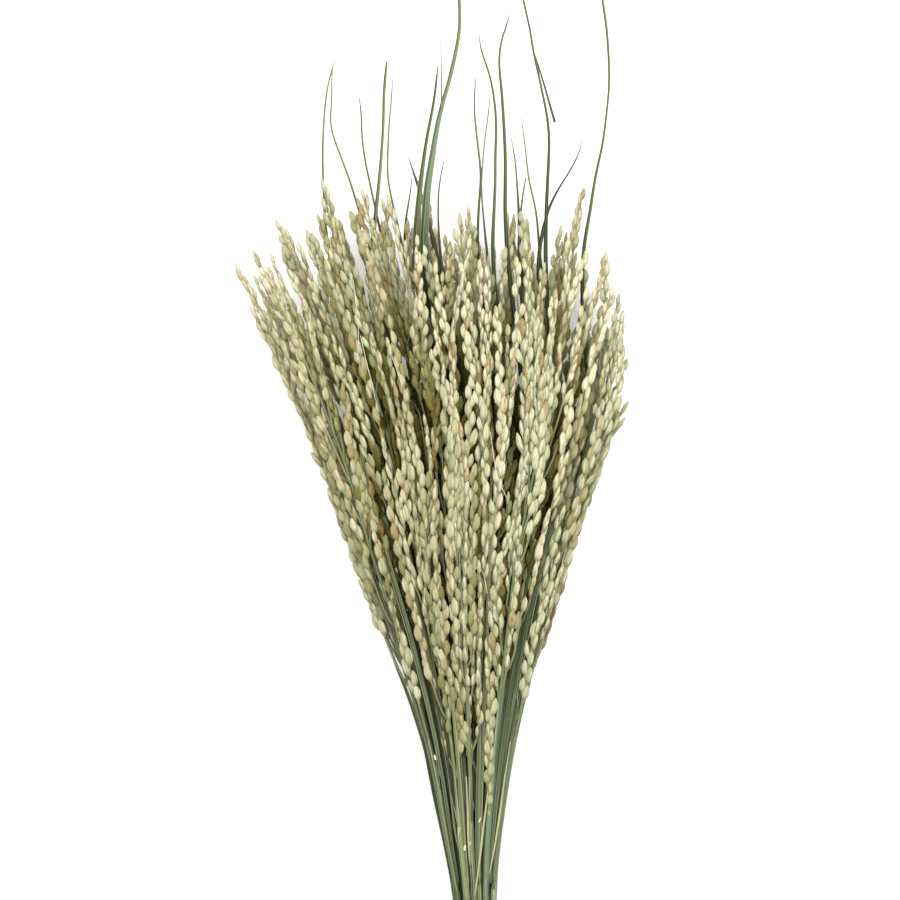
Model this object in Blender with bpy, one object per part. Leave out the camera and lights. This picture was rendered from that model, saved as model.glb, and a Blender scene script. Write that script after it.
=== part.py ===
"""A bunch of dried rice stalks, tied at the neck and lying on its side.

Units are metres and +Z is up. +Y runs along the bunch, from the cut stem ends past the tie to the
leaf tips. The underside of the bunch lies on z = 0, and the origin is under the bunch's middle.
Each stalk is two bodies: a green leafy stem, and the straw-coloured head of grain at its top.
"""

import math
import random
from collections import defaultdict

import bmesh
import bpy
from mathutils import Matrix, Vector

MM = 0.001
SEED = 29
GAP = 0.35 * MM
LOWEST_LINE = 0.8 * MM

# The stalks and where they stand across the bunch, on a disc of radius 1.
STALKS = 29
GOLDEN_ANGLE = math.radians(137.508)
EVEN_SPACING = 0.40
EVENING_ROUNDS = 80
EVENING_PUSH = 0.3

# How the bunch opens, in millimetres: the distance from the cut ends, then how far left, right, low
# and high the outermost stalk centres stand there.
OPENING = (
    (0, -10.0, 10.0, 2.6, 22.0),
    (70, -8.0, 8.0, 2.9, 18.9),
    (125, -7.2, 7.2, 3.2, 17.6),
    (145, -8.4, 7.6, 2.9, 19.5),
    (165, -12.0, 9.2, 2.7, 23.0),
    (205, -20.0, 15.4, 2.5, 34.0),
    (245, -32.0, 24.5, 2.4, 48.0),
    (285, -46.5, 35.0, 2.4, 61.0),
    (325, -60.0, 49.0, 2.5, 73.0),
    (365, -78.0, 57.0, 2.5, 82.0),
    (400, -94.0, 57.0, 2.8, 88.0),
    (432, -106.0, 49.0, 4.0, 90.0),
)

# Above the tie the low stalks come down towards the surface that the bunch lies on.
UNDERSIDE_FLATTENING = 0.55
FLATTENING_START = 140 * MM
FLATTENING_LENGTH = 100 * MM
LEAST_RIM_HEIGHT = 0.3

# Balls that keep the leaves and branches clear of what is placed before them.
CUBE_OF_SPACE = 8 * MM
BALL_SPACING = 2 * MM
BENDING_ROUNDS = 24
BENDING_SHARE = 0.6

# Stems.
STEM_SIDES = 5
STEM_FOOT_RADIUS = 1.2 * MM
STEM_TOP_RADIUS = 0.9 * MM
STEM_END_SCATTER = 6 * MM
STEM_LEVELS = (70, 125, 165, 205, 245, 285)
LAST_LEVEL_BELOW_HEAD = 15 * MM
COLLAR_BELOW_HEAD = 12 * MM

# Heads of grain.
HEAD_TIP_ALONG = 430 * MM
HEAD_TIP_FALL = 34 * MM
HEAD_TIP_SCATTER = 8 * MM
HEAD_LENGTH = (158 * MM, 186 * MM)
LATE_HEAD_DROP = 52 * MM
LATE_HEAD_EVERY = 4
LOWEST_HEAD_BASE = 188 * MM
STRAND_SIDES = 4
RACHIS_RADIUS = 0.8 * MM
STRAND_RADIUS = 0.45 * MM
STRAND_STEP = 3 * MM
GRAIN_PITCH = 6.9 * MM
GRAIN_HALF_WIDTH = 1.85 * MM
GRAIN_HALF_THICKNESS = 1.4 * MM
GRAIN_BELLY = 0.44
GRAIN_STAND_OUT = 0.95 * MM
GRAIN_SHOULDERS = (-1.6 * MM, 1.9 * MM)
GRAIN_SIZES = (0.9, 1.08)
TOP_GRAINS = 9
BRANCH_GRAINS = (5, 5, 5)
BRANCH_STARTS = (9 * MM, 44 * MM, 80 * MM)
BRANCH_BARE = 12 * MM
BRANCH_SPREAD = 0.13
BRANCH_SPREADING = 28 * MM
BRANCH_TURN_SCATTER = 0.4
BRANCH_TURNS_TRIED = (0.0, 0.4, -0.4, 0.8, -0.8, 1.2, -1.2)

# Leaf blades.
BLADE_THICKNESS = 0.7 * MM
BLADE_FOLD = 0.25
BLADE_STEP = 30 * MM
BLADE_TURN = 1.2
BLADE_WIDTH_AT_COLLAR = 0.45
BLADE_WIDEST_AT = 0.25
BLADE_NARROWS_FROM = 0.3
BLADE_NARROWS_BY = 0.85
COLLAR_ALONG = (168 * MM, 222 * MM)
LEAF_STEP = 4 * MM
LEAF_OFFSET = 0.2
LEAF_PLACES_TRIED = 16
LEAF_LEAVING = 12 * MM
OPEN_BLADE_START = 9.6 * MM
LEAF_FOOT_ALONG = 405 * MM
INNER_LEAF_END = (300 * MM, 385 * MM)
INNER_LEAF_WIDTH = 3.2 * MM
# A tall leaf moves across to its foot, and down behind the heads to its level on the disc. The
# three at the front come up again, from LEAF_RISE_ALONG to its foot.
LEAF_CROSSING_START = 30 * MM
LEAF_CROSSING_LENGTH = 160 * MM
LEAF_SINKING_LENGTH = 100 * MM
LEAF_RISE_ALONG = 325 * MM
BACK_LEAF_LEVEL = -0.3
BACK_LEAF_SPREAD = 0.2
FRONT_LEAVES = (7, 8, 18)
FRONT_LEAF_LEAST = 0.6
FRONT_LEAF_RISE = 0.75
# Leaves that rise out of the heads, in millimetres: where each stands across at LEAF_FOOT_ALONG,
# halfway up from there and at its tip, then how far along its tip is, and its width.
TALL_LEAVES = (
    (-61, -61.5, -57, 480, 2.4),
    (-46, -56, -57.6, 478, 2.6),
    (-41, -44, -46.4, 466, 2.2),
    (-40, -38.5, -35.6, 481, 3.2),
    (-34, -35, -33.6, 474, 2.2),
    (-28, -27, -26, 436, 2.2),
    (-22, -24, -27, 443, 3.4),
    (-22, -20, -15.6, 477, 4.6),
    (-20, -13, -7, 513, 5.2),
    (-16, -15, -12.4, 441, 2.2),
    (0, 2.5, 0.4, 474, 2.4),
    (3, 2, 5.6, 467, 2.2),
    (6, 8.5, 1.6, 488, 3.0),
    (12, 11, 13.6, 499, 3.0),
    (17, 16.5, 14.8, 450, 2.2),
    (18, 19, 20, 436, 2.2),
    (24, 34, 42.4, 447, 2.6),
    (26, 22, 18, 458, 2.4),
    (27, 30, 17, 511, 3.6),
    (44, 52.5, 50.8, 510, 4.0),
)

# The twine tie.
TIE_ALONG = 125 * MM
TIE_CENTRE_UP = 10.4 * MM
TIE_INNER_RADIUS = 8.8 * MM
TWINE_DIAMETER = 1.9 * MM
TIE_TURNS = 3
TIE_STEPS = 18
TURN_CREST_HEIGHT = 1.85
TURN_CREST_WIDTH = 0.5
KNOT_RADIUS = 2.6 * MM
KNOT_SHAPE = (1.25, 1.0, 0.8)
KNOT_RISE = 0.35
TIE_END_LENGTH = 13 * MM
TIE_END_SHARES = (0.0, 0.4, 0.75, 1.0)
TIE_END_SLANT = 0.35
TIE_END_FALL = 0.55
TIE_END_THICKNESS = 0.9
TIE_END_SIDES = 5

COLOURS = {
    "stem_green": ((0.30, 0.36, 0.20), 0.62),
    "grain_straw": ((0.62, 0.57, 0.38), 0.72),
    "twine": ((0.50, 0.38, 0.22), 0.85),
}


def smooth(share):
    """0 below 0, 1 above 1, and an even S between."""
    share = min(max(share, 0.0), 1.0)
    return share * share * (3 - 2 * share)


def bunch_edges(along):
    """Left, right, low and high edge of the stalk centres at a distance along the bunch."""
    rows = OPENING
    at = min(max(along / MM, rows[0][0]), rows[-1][0])
    k = next(i for i in range(len(rows) - 1) if at <= rows[i + 1][0])
    before, low, high = rows[max(k - 1, 0)], rows[k], rows[k + 1]
    after = rows[min(k + 2, len(rows) - 1)]
    span = high[0] - low[0]
    t = (at - low[0]) / span
    edges = []
    for column in range(1, 5):
        slope_low = (high[column] - before[column]) / (high[0] - before[0]) * span
        slope_high = (after[column] - low[column]) / (after[0] - low[0]) * span
        edges.append(
            MM
            * (
                (2 * t**3 - 3 * t**2 + 1) * low[column]
                + (t**3 - 2 * t**2 + t) * slope_low
                + (3 * t**2 - 2 * t**3) * high[column]
                + (t**3 - t**2) * slope_high
            )
        )
    beyond = along - rows[-1][0] * MM
    if beyond > 0:
        last, previous = rows[-1], rows[-2]
        for column in range(1, 5):
            rise = (last[column] - previous[column]) / (last[0] - previous[0])
            edges[column - 1] += rise * beyond
    return edges


def flow(place, along):
    """The point that a place on the disc has reached at a distance along the bunch."""
    left, right, low, high = bunch_edges(along)
    across, up = place
    if up < 0:
        flattening = UNDERSIDE_FLATTENING * smooth((along - FLATTENING_START) / FLATTENING_LENGTH)
        rim = math.sqrt(max(1 - across * across, 0))
        up /= max(rim, LEAST_RIM_HEIGHT) ** flattening
    return Vector(
        (
            (left + right) / 2 + (right - left) / 2 * across,
            along,
            (low + high) / 2 + (high - low) / 2 * up,
        )
    )


def disc_of(x, along, up):
    """The place on the disc, at the height up, that stands at x at a distance along the bunch."""
    left, right, _, _ = bunch_edges(along)
    return Vector(((x - (left + right) / 2) / ((right - left) / 2), up))


def stalk_places():
    """Places of the stalks on the disc: a sunflower spiral, evened out."""
    places = []
    for k in range(STALKS):
        turn = k * GOLDEN_ANGLE
        places.append(math.sqrt((k + 0.5) / STALKS) * Vector((math.cos(turn), math.sin(turn))))
    for _ in range(EVENING_ROUNDS):
        moved = []
        for here in places:
            push = Vector((0.0, 0.0))
            for other in places:
                away = here - other
                if 0 < away.length < EVEN_SPACING:
                    push += away.normalized() * (EVEN_SPACING - away.length)
            moved.append(here + push * EVENING_PUSH)
        places = [p if p.length <= 1 else p.normalized() for p in moved]
    return places


class Route:
    """A line through points, read by the distance walked along it."""

    def __init__(self, points):
        self.points = points
        self.walked = [0.0]
        for a, b in zip(points, points[1:]):
            self.walked.append(self.walked[-1] + (b - a).length)
        self.length = self.walked[-1]

    def at(self, distance):
        """(point, direction) there."""
        distance = min(max(distance, 0.0), self.length)
        k = next(i for i in range(len(self.points) - 1) if distance <= self.walked[i + 1] + 1e-9)
        a, b = self.points[k], self.points[k + 1]
        share = (distance - self.walked[k]) / (self.walked[k + 1] - self.walked[k])
        before, after = self.points[max(k - 1, 0)], self.points[min(k + 2, len(self.points) - 1)]
        direction = ((b - before) * (1 - share) + (after - a) * share).normalized()
        return a.lerp(b, share), direction


class Room:
    """Balls that stand for what is already placed, sorted into cubes of space."""

    def __init__(self):
        self.cubes = defaultdict(list)

    def cube_of(self, point):
        return tuple(math.floor(c / CUBE_OF_SPACE) for c in point)

    def add(self, owner, point, radius):
        self.cubes[self.cube_of(point)].append((owner, point.copy(), radius))

    def add_route(self, owner, route, radius_at):
        steps = max(int(route.length / BALL_SPACING), 1)
        for k in range(steps + 1):
            distance = route.length * k / steps
            self.add(owner, route.at(distance)[0], radius_at(distance))

    def near(self, owner, point):
        """What other owners have placed in the cubes round this point."""
        x, y, z = self.cube_of(point)
        for i in (x - 1, x, x + 1):
            for j in (y - 1, y, y + 1):
                for k in (z - 1, z, z + 1):
                    for ball in self.cubes.get((i, j, k), ()):
                        if ball[0] != owner:
                            yield ball

    def is_clear(self, owner, point, radius):
        return all(
            (point - other).length > radius + other_radius + GAP
            for _, other, other_radius in self.near(owner, point)
        )

    def crowding(self, owner, parent, points, radius):
        """How often the points come too near to anything but the parent that they leave."""
        return sum(
            ball_owner != parent and (point - other).length < radius + other_radius + GAP
            for point in points
            for ball_owner, other, other_radius in self.near(owner, point)
        )

    def bend_clear(self, owner, points, radius, fixed):
        """Moves the points after the first fixed ones until they clear what is placed."""
        for _ in range(BENDING_ROUNDS):
            moved = False
            for k in range(fixed, len(points)):
                for _, other, other_radius in self.near(owner, points[k]):
                    away = points[k] - other
                    away.y = 0
                    short = radius + other_radius + 2 * GAP - (points[k] - other).length
                    if short > 0 and away.length > 0:
                        points[k] = points[k] + away.normalized() * short * BENDING_SHARE
                        moved = True
                points[k].z = max(points[k].z, LOWEST_LINE)
            if not moved:
                break
            for k in range(max(fixed, 1), len(points) - 1):
                points[k] = (points[k - 1] + points[k] * 4 + points[k + 1]) / 6

    def bend_lengths_clear(self, owner, points, radius, fixed):
        """Moves the points until the straight lengths between them clear what is placed."""
        for _ in range(BENDING_ROUNDS):
            moved = False
            for k in range(fixed - 1, len(points) - 1):
                samples = max(int((points[k + 1] - points[k]).length / BALL_SPACING), 1)
                for sample in range(1, samples + 1):
                    share = sample / samples
                    here = points[k].lerp(points[k + 1], share)
                    for _, other, other_radius in self.near(owner, here):
                        away = here - other
                        away.y = 0
                        short = radius + other_radius + GAP - (here - other).length
                        if short > 0 and away.length > 0:
                            push = away.normalized() * short * BENDING_SHARE
                            points[k + 1] = points[k + 1] + push * share
                            if k >= fixed:
                                points[k] = points[k] + push * (1 - share)
                            moved = True
            for point in points:
                point.z = max(point.z, LOWEST_LINE)
            if not moved:
                break


def ring(point, direction, half_width, half_height, sides, turn=0.0):
    """Corners of a cross-section that faces along direction, with its width turned about it."""
    side = direction.cross(Vector((0, 0, 1))).normalized()
    up = side.cross(direction).normalized()
    wide = side * math.cos(turn) + up * math.sin(turn)
    high = up * math.cos(turn) - side * math.sin(turn)
    corners = []
    for k in range(sides):
        angle = 2 * math.pi * k / sides
        corners.append(
            point + wide * math.cos(angle) * half_width + high * math.sin(angle) * half_height
        )
    return corners


def blade_ring(point, direction, half_width, turn):
    """A leaf blade's cross-section: thin at its edges, with a shallow fold along its midrib."""
    side = direction.cross(Vector((0, 0, 1))).normalized()
    up = side.cross(direction).normalized()
    wide = side * math.cos(turn) + up * math.sin(turn)
    high = up * math.cos(turn) - side * math.sin(turn)
    sag = high * half_width * BLADE_FOLD
    return [
        point + wide * half_width,
        point + high * BLADE_THICKNESS / 2 - sag,
        point - wide * half_width,
        point - high * BLADE_THICKNESS / 2 - sag,
    ]


def sweep(rings, pointed=False):
    """A closed body extruded through the rings, closed to a point at the last one if pointed."""
    bm = bmesh.new()
    cap = bm.faces.new([bm.verts.new(corner) for corner in rings[0]])
    for corners in rings[1:]:
        cap = bmesh.ops.extrude_discrete_faces(bm, faces=[cap])["faces"][0]
        for vertex, corner in zip(cap.verts, corners):
            vertex.co = corner
    if pointed:
        middle = sum(rings[-1], Vector()) / len(rings[-1])
        bmesh.ops.pointmerge(bm, verts=cap.verts[:], merge_co=middle)
    bmesh.ops.holes_fill(bm, edges=[edge for edge in bm.edges if edge.is_boundary])
    bmesh.ops.recalc_face_normals(bm, faces=bm.faces[:])
    return finished(bm)


def finished(bm):
    mesh = bpy.data.meshes.new("body")
    bm.to_mesh(mesh)
    bm.free()
    return mesh


def fused(name, meshes, material):
    """One object from bodies that reach into each other."""
    whole = bpy.data.objects.new(name, meshes[0])
    bpy.context.scene.collection.objects.link(whole)
    if len(meshes) > 1:
        others = bpy.data.collections.new(name + "_parts")
        bpy.context.scene.collection.children.link(others)
        for mesh in meshes[1:]:
            others.objects.link(bpy.data.objects.new(name + "_part", mesh))
        union = whole.modifiers.new("union", "BOOLEAN")
        union.operation = "UNION"
        union.operand_type = "COLLECTION"
        union.collection = others
        union.solver = "MANIFOLD"
        bpy.context.view_layer.update()
        evaluated = whole.evaluated_get(bpy.context.evaluated_depsgraph_get())
        joined = bpy.data.meshes.new_from_object(evaluated)
        whole.modifiers.clear()
        whole.data = joined
        for part in list(others.objects):
            bpy.data.objects.remove(part)
        bpy.data.collections.remove(others)
    whole.data.name = name
    whole.data.materials.clear()
    whole.data.materials.append(material)
    return whole


def material_of(name):
    colour, roughness = COLOURS[name]
    material = bpy.data.materials.new(name)
    material.use_nodes = True
    shader = material.node_tree.nodes["Principled BSDF"]
    shader.inputs["Base Color"].default_value = (*colour, 1.0)
    shader.inputs["Roughness"].default_value = roughness
    shader.inputs["Metallic"].default_value = 0.0
    return material


def plan_stalks(chance):
    """What each stalk needs before any is built: its place, its levels and its head's tip."""
    stalks = []
    for number, place in enumerate(stalk_places(), 1):
        tip = HEAD_TIP_ALONG - HEAD_TIP_FALL * place.length_squared
        tip += chance.uniform(-1, 1) * HEAD_TIP_SCATTER
        if number % LATE_HEAD_EVERY == 0:
            tip -= LATE_HEAD_DROP
        base = max(tip - chance.uniform(*HEAD_LENGTH), LOWEST_HEAD_BASE)
        collar = min(chance.uniform(*COLLAR_ALONG), base - COLLAR_BELOW_HEAD)
        foot = chance.random() * STEM_END_SCATTER
        stalks.append(
            {
                "number": number,
                "place": place,
                "foot": foot,
                "collar": collar,
                "base": base,
                "tip": tip,
            }
        )
    return stalks


def stem_route(stalk):
    highest = stalk["base"] - LAST_LEVEL_BELOW_HEAD
    levels = [stalk["foot"]]
    levels += [level * MM for level in STEM_LEVELS if level * MM < highest]
    levels.append(stalk["base"])
    return Route([flow(stalk["place"], along) for along in levels])


def stem_radius(share):
    return STEM_FOOT_RADIUS + (STEM_TOP_RADIUS - STEM_FOOT_RADIUS) * share


def strand_route(place, offset, start, end):
    """A fine line up the bunch that leaves its place, at once, for an offset one."""
    steps = max(int((end - start) / STRAND_STEP), 2)
    points = []
    for k in range(steps + 1):
        along = start + (end - start) * k / steps
        left_to_go = max(1 - (along - start) / BRANCH_SPREADING, 0)
        points.append(flow(place + offset * (1 - left_to_go**2), along))
    return points


def plan_leaves(stalks, chance):
    """Gives each stalk its leaf: a tall one that rises out of the heads, or an inner one."""
    free = list(stalks)
    for number, (foot_x, middle_x, tip_x, tip_along, width) in enumerate(TALL_LEAVES):
        nearest = min(
            free, key=lambda s: abs(flow(s["place"], LEAF_FOOT_ALONG).x - foot_x * MM)
        )
        free.remove(nearest)
        nearest["leaf"] = {
            "foot_x": foot_x * MM,
            "middle_x": middle_x * MM,
            "tip_x": tip_x * MM,
            "end": tip_along * MM,
            "width": width * MM,
            "at_front": number in FRONT_LEAVES,
        }
    for stalk in free:
        stalk["leaf"] = {
            "end": chance.uniform(*INNER_LEAF_END),
            "width": INNER_LEAF_WIDTH,
        }


def leaf_place(stalk, taken):
    """A free place on the disc beside the stalk, between its neighbours."""
    best, best_room = None, -1
    for k in range(LEAF_PLACES_TRIED):
        turn = 2 * math.pi * k / LEAF_PLACES_TRIED
        there = stalk["place"] + LEAF_OFFSET * Vector((math.cos(turn), math.sin(turn)))
        if there.length > 1.0:
            continue
        room = min((there - other).length for other in taken)
        if room > best_room:
            best, best_room = there, room
    return best


def tall_leaf_level(leaf, place, along):
    """How high on the disc a tall leaf runs at a distance along the bunch."""
    level = BACK_LEAF_LEVEL + BACK_LEAF_SPREAD * place.y
    if leaf["at_front"]:
        foot_level = max(place.y, FRONT_LEAF_LEAST) * FRONT_LEAF_RISE
        rise = smooth((along - LEAF_RISE_ALONG) / (LEAF_FOOT_ALONG - LEAF_RISE_ALONG))
        level += (foot_level - level) * rise
    return level


def leaf_points(stalk, place):
    """The leaf's midline, from inside its stem at the collar to its tip."""
    leaf, collar = stalk["leaf"], stalk["collar"]
    tall = "tip_x" in leaf
    flow_end = LEAF_FOOT_ALONG if tall else leaf["end"]
    steps = int((flow_end - collar) / LEAF_STEP)
    points = []
    for k in range(steps + 1):
        along = collar + (flow_end - collar) * k / steps
        grown = along - collar
        there = stalk["place"].lerp(place, smooth(grown / LEAF_LEAVING))
        if tall:
            goal = disc_of(leaf["foot_x"], LEAF_FOOT_ALONG, place.y)
            crossed = smooth((grown - LEAF_CROSSING_START) / LEAF_CROSSING_LENGTH)
            there = there.lerp(goal, crossed)
            level = tall_leaf_level(leaf, place, along)
            there.y += (level - there.y) * smooth(grown / LEAF_SINKING_LENGTH)
        points.append(flow(there, along))
    if tall:
        foot = points[-1]
        steps = int((leaf["end"] - LEAF_FOOT_ALONG) / LEAF_STEP)
        for k in range(1, steps + 1):
            t = k / steps
            x = (
                leaf["foot_x"] * (1 - t) * (1 - 2 * t)
                + leaf["middle_x"] * 4 * t * (1 - t)
                + leaf["tip_x"] * t * (2 * t - 1)
            )
            along = LEAF_FOOT_ALONG + (leaf["end"] - LEAF_FOOT_ALONG) * t
            points.append(Vector((x, along, foot.z)))
    return points


def blade_half_width(leaf, share):
    """Narrow at the collar, widest a quarter of the way up, and drawn out to the tip."""
    widening = smooth(share / BLADE_WIDEST_AT)
    width = BLADE_WIDTH_AT_COLLAR + (1 - BLADE_WIDTH_AT_COLLAR) * widening
    narrowing = max(share - BLADE_NARROWS_FROM, 0) / (1 - BLADE_NARROWS_FROM)
    return leaf["width"] / 2 * width * (1 - BLADE_NARROWS_BY * narrowing)


def blade_points(line):
    """Points along the leaf's midline at which its blade bends."""
    line = Route(line)
    count = max(int(line.length / BLADE_STEP), 3)
    open_length = line.length - OPEN_BLADE_START
    distances = [OPEN_BLADE_START + open_length * k / count for k in range(count + 1)]
    return [line.at(distance)[0] for distance in [0.0, *distances]]


def leaf_body(route, leaf, turn):
    rings = []
    for distance in route.walked:
        point, direction = route.at(distance)
        share = distance / route.length
        rings.append(blade_ring(point, direction, blade_half_width(leaf, share), turn * share))
    return sweep(rings, pointed=True)


def stem_body(route):
    rings = []
    for distance in route.walked:
        point, direction = route.at(distance)
        radius = stem_radius(distance / route.length)
        rings.append(ring(point, direction, radius, radius, STEM_SIDES))
    return sweep(rings)


def strand_body(route, thin_at, grains, owner, room, chance, root_radius):
    """A strand with rings where thin_at says, then grains that stand out to either side."""
    rings = []
    bare = route.length - GRAIN_PITCH * grains
    lean = chance.uniform(0, math.pi)
    for distance in thin_at:
        point, direction = route.at(distance)
        radius = root_radius + (STRAND_RADIUS - root_radius) * distance / bare
        rings.append(ring(point, direction, radius, radius, STRAND_SIDES, lean))
    for k in range(grains):
        point, direction = route.at(bare + GRAIN_PITCH * k)
        rings.append(ring(point, direction, STRAND_RADIUS, STRAND_RADIUS, STRAND_SIDES, lean))
        point, direction = route.at(bare + GRAIN_PITCH * (k + GRAIN_BELLY))
        side = direction.cross(Vector((0, 0, 1))).normalized()
        up = side.cross(direction).normalized()
        out = (side * math.cos(lean) + up * math.sin(lean)) * (1 if k % 2 else -1)
        belly = point + out * GRAIN_STAND_OUT
        size = chance.uniform(*GRAIN_SIZES)
        balls = [(belly, GRAIN_HALF_WIDTH * size)]
        for shift in GRAIN_SHOULDERS:
            balls.append((belly + direction * shift, GRAIN_HALF_THICKNESS * size))
        if all(room.is_clear(owner, place, radius) for place, radius in balls):
            rings.append(
                ring(
                    belly,
                    direction,
                    GRAIN_HALF_WIDTH * size,
                    GRAIN_HALF_THICKNESS * size,
                    STRAND_SIDES,
                    lean,
                )
            )
            for place, radius in balls:
                room.add(owner, place, radius)
    point, direction = route.at(route.length)
    rings.append(ring(point, direction, STRAND_RADIUS, STRAND_RADIUS, STRAND_SIDES, lean))
    return sweep(rings, pointed=True)


def plan_head(stalk, room):
    """The route of a head's rachis, which carries on where its stem ends."""
    start = stalk["base"] + GAP
    stalk["rachis"] = Route(strand_route(stalk["place"], Vector((0, 0)), start, stalk["tip"]))
    room.add_route((stalk["number"], 0), stalk["rachis"], lambda distance: RACHIS_RADIUS)


def plan_branches(stalk, room, chance):
    """Routes of the branches, from inside the rachis: the first outwards, the others to its sides."""
    place = stalk["place"]
    outward = math.atan2(place.y, place.x) - 2 * math.pi / 3
    outward += chance.uniform(-BRANCH_TURN_SCATTER, BRANCH_TURN_SCATTER)
    stalk["branches"] = []
    for k, (begin, grains) in enumerate(zip(BRANCH_STARTS, BRANCH_GRAINS), 1):
        root = stalk["rachis"].at(begin)[0]
        end = root.y + BRANCH_BARE + GRAIN_PITCH * grains
        owner = (stalk["number"], k)
        best, fewest = None, math.inf
        for aside in BRANCH_TURNS_TRIED:
            turn = outward + aside + k * 2 * math.pi / 3
            offset = BRANCH_SPREAD * Vector((math.cos(turn), math.sin(turn)))
            points = strand_route(stalk["place"], offset, root.y, end)
            points[0] = root
            room.bend_clear(owner, points, STRAND_RADIUS, fixed=3)
            blocked = room.crowding(owner, (stalk["number"], 0), points[1:], STRAND_RADIUS)
            if blocked < fewest:
                best, fewest = points, blocked
        route = Route(best)
        stalk["branches"].append((route, grains))
        room.add_route(owner, route, lambda distance: STRAND_RADIUS)


def head_bodies(stalk, room, chance):
    number = stalk["number"]
    forks = [0.0, *BRANCH_STARTS]
    radius = RACHIS_RADIUS
    meshes = [strand_body(stalk["rachis"], forks, TOP_GRAINS, (number, 0), room, chance, radius)]
    for k, (route, grains) in enumerate(stalk["branches"], 1):
        meshes.append(strand_body(route, [0.0], grains, (number, k), room, chance, STRAND_RADIUS))
    return meshes


def tie_bodies():
    """The wound twine as one scalloped ring, with its knot and two short ends on top."""
    centre = Vector((0, TIE_ALONG, TIE_CENTRE_UP))
    inner = TIE_INNER_RADIUS / math.cos(math.pi / TIE_STEPS)
    half = TWINE_DIAMETER / 2
    width = TIE_TURNS * TWINE_DIAMETER
    profile = [(-width / 2, inner), (-width / 2, inner + half)]
    for turn in range(TIE_TURNS):
        middle = (turn + 0.5) * TWINE_DIAMETER - width / 2
        crest = inner + half * TURN_CREST_HEIGHT
        profile.append((middle - half * TURN_CREST_WIDTH, crest))
        profile.append((middle + half * TURN_CREST_WIDTH, crest))
        profile.append((middle + half, inner + half))
    profile.append((width / 2, inner))
    bm = bmesh.new()
    verts = [bm.verts.new(centre + Vector((0, along, -radius))) for along, radius in profile]
    edges = [bm.edges.new((a, b)) for a, b in zip(verts, verts[1:] + verts[:1])]
    bmesh.ops.spin(
        bm,
        geom=verts + edges,
        cent=centre,
        axis=(0, 1, 0),
        angle=2 * math.pi,
        steps=TIE_STEPS,
        use_merge=True,
    )
    bmesh.ops.recalc_face_normals(bm, faces=bm.faces[:])
    band = finished(bm)

    knot_centre = centre + Vector((0, 0, inner + TWINE_DIAMETER + KNOT_RADIUS * KNOT_RISE))
    bm = bmesh.new()
    bmesh.ops.create_icosphere(bm, subdivisions=1, radius=KNOT_RADIUS)
    bmesh.ops.scale(bm, vec=KNOT_SHAPE, verts=bm.verts[:])
    bmesh.ops.translate(bm, vec=knot_centre, verts=bm.verts[:])
    knot = finished(bm)
    bodies = [band, knot]
    for way in (-1, 1):
        points = []
        for share in TIE_END_SHARES:
            sideways = way * share
            offset = Vector((sideways, TIE_END_SLANT * sideways, -TIE_END_FALL * share**2))
            points.append(knot_centre + offset * TIE_END_LENGTH)
        route = Route(points)
        rings = []
        for distance in route.walked:
            point, direction = route.at(distance)
            radius = half * TIE_END_THICKNESS
            rings.append(ring(point, direction, radius, radius, TIE_END_SIDES))
        bodies.append(sweep(rings))
    return bodies


def lay_flat(objects):
    """Presses flat whatever reaches under the surface that the bunch lies on."""
    for item in objects:
        if min(vertex.co.z for vertex in item.data.vertices) >= 0:
            continue
        bm = bmesh.new()
        bm.from_mesh(item.data)
        cut = bmesh.ops.bisect_plane(
            bm,
            geom=bm.verts[:] + bm.edges[:] + bm.faces[:],
            dist=1e-7,
            plane_co=(0, 0, 0),
            plane_no=(0, 0, -1),
            clear_outer=True,
        )
        edges = [e for e in cut["geom_cut"] if isinstance(e, bmesh.types.BMEdge)]
        bmesh.ops.holes_fill(bm, edges=edges)
        bm.to_mesh(item.data)
        bm.free()


def centre_under_bunch(objects):
    """Moves the origin under the middle of everything."""
    corners = [vertex.co for item in objects for vertex in item.data.vertices]
    middle = [(min(c[i] for c in corners) + max(c[i] for c in corners)) / 2 for i in (0, 1)]
    shift = Matrix.Translation((-middle[0], -middle[1], 0))
    for item in objects:
        item.data.transform(shift)
    return middle


def build():
    chance = random.Random(SEED)
    for old in list(bpy.data.objects):
        bpy.data.objects.remove(old)
    materials = {name: material_of(name) for name in COLOURS}
    room = Room()
    stalks = plan_stalks(chance)
    plan_leaves(stalks, chance)
    for stalk in stalks:
        stalk["stem"] = stem_route(stalk)
        room.add_route(
            f"leafy_stem_{stalk['number']:02d}", stalk["stem"], lambda d: STEM_FOOT_RADIUS
        )
        plan_head(stalk, room)

    taken = [stalk["place"] for stalk in stalks]
    for stalk in stalks:
        owner = f"leafy_stem_{stalk['number']:02d}"
        place = leaf_place(stalk, taken)
        taken.append(place)
        points = blade_points(leaf_points(stalk, place))
        half = stalk["leaf"]["width"] / 2
        room.bend_lengths_clear(owner, points, half, fixed=2)
        stalk["blade"] = Route(points)
        room.add_route(owner, stalk["blade"], lambda d, half=half: half)
    for stalk in stalks:
        plan_branches(stalk, room, chance)

    objects = []
    for stalk in stalks:
        turn = chance.uniform(-BLADE_TURN, BLADE_TURN)
        meshes = [stem_body(stalk["stem"]), leaf_body(stalk["blade"], stalk["leaf"], turn)]
        name = f"leafy_stem_{stalk['number']:02d}"
        objects.append(fused(name, meshes, materials["stem_green"]))
    for stalk in stalks:
        name = f"grain_head_{stalk['number']:02d}"
        meshes = head_bodies(stalk, room, chance)
        objects.append(fused(name, meshes, materials["grain_straw"]))
    objects.append(fused("tie", tie_bodies(), materials["twine"]))
    lay_flat(objects)
    middle = centre_under_bunch(objects)
    print("neck at", -middle[0], TIE_ALONG - middle[1])


build()
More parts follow.
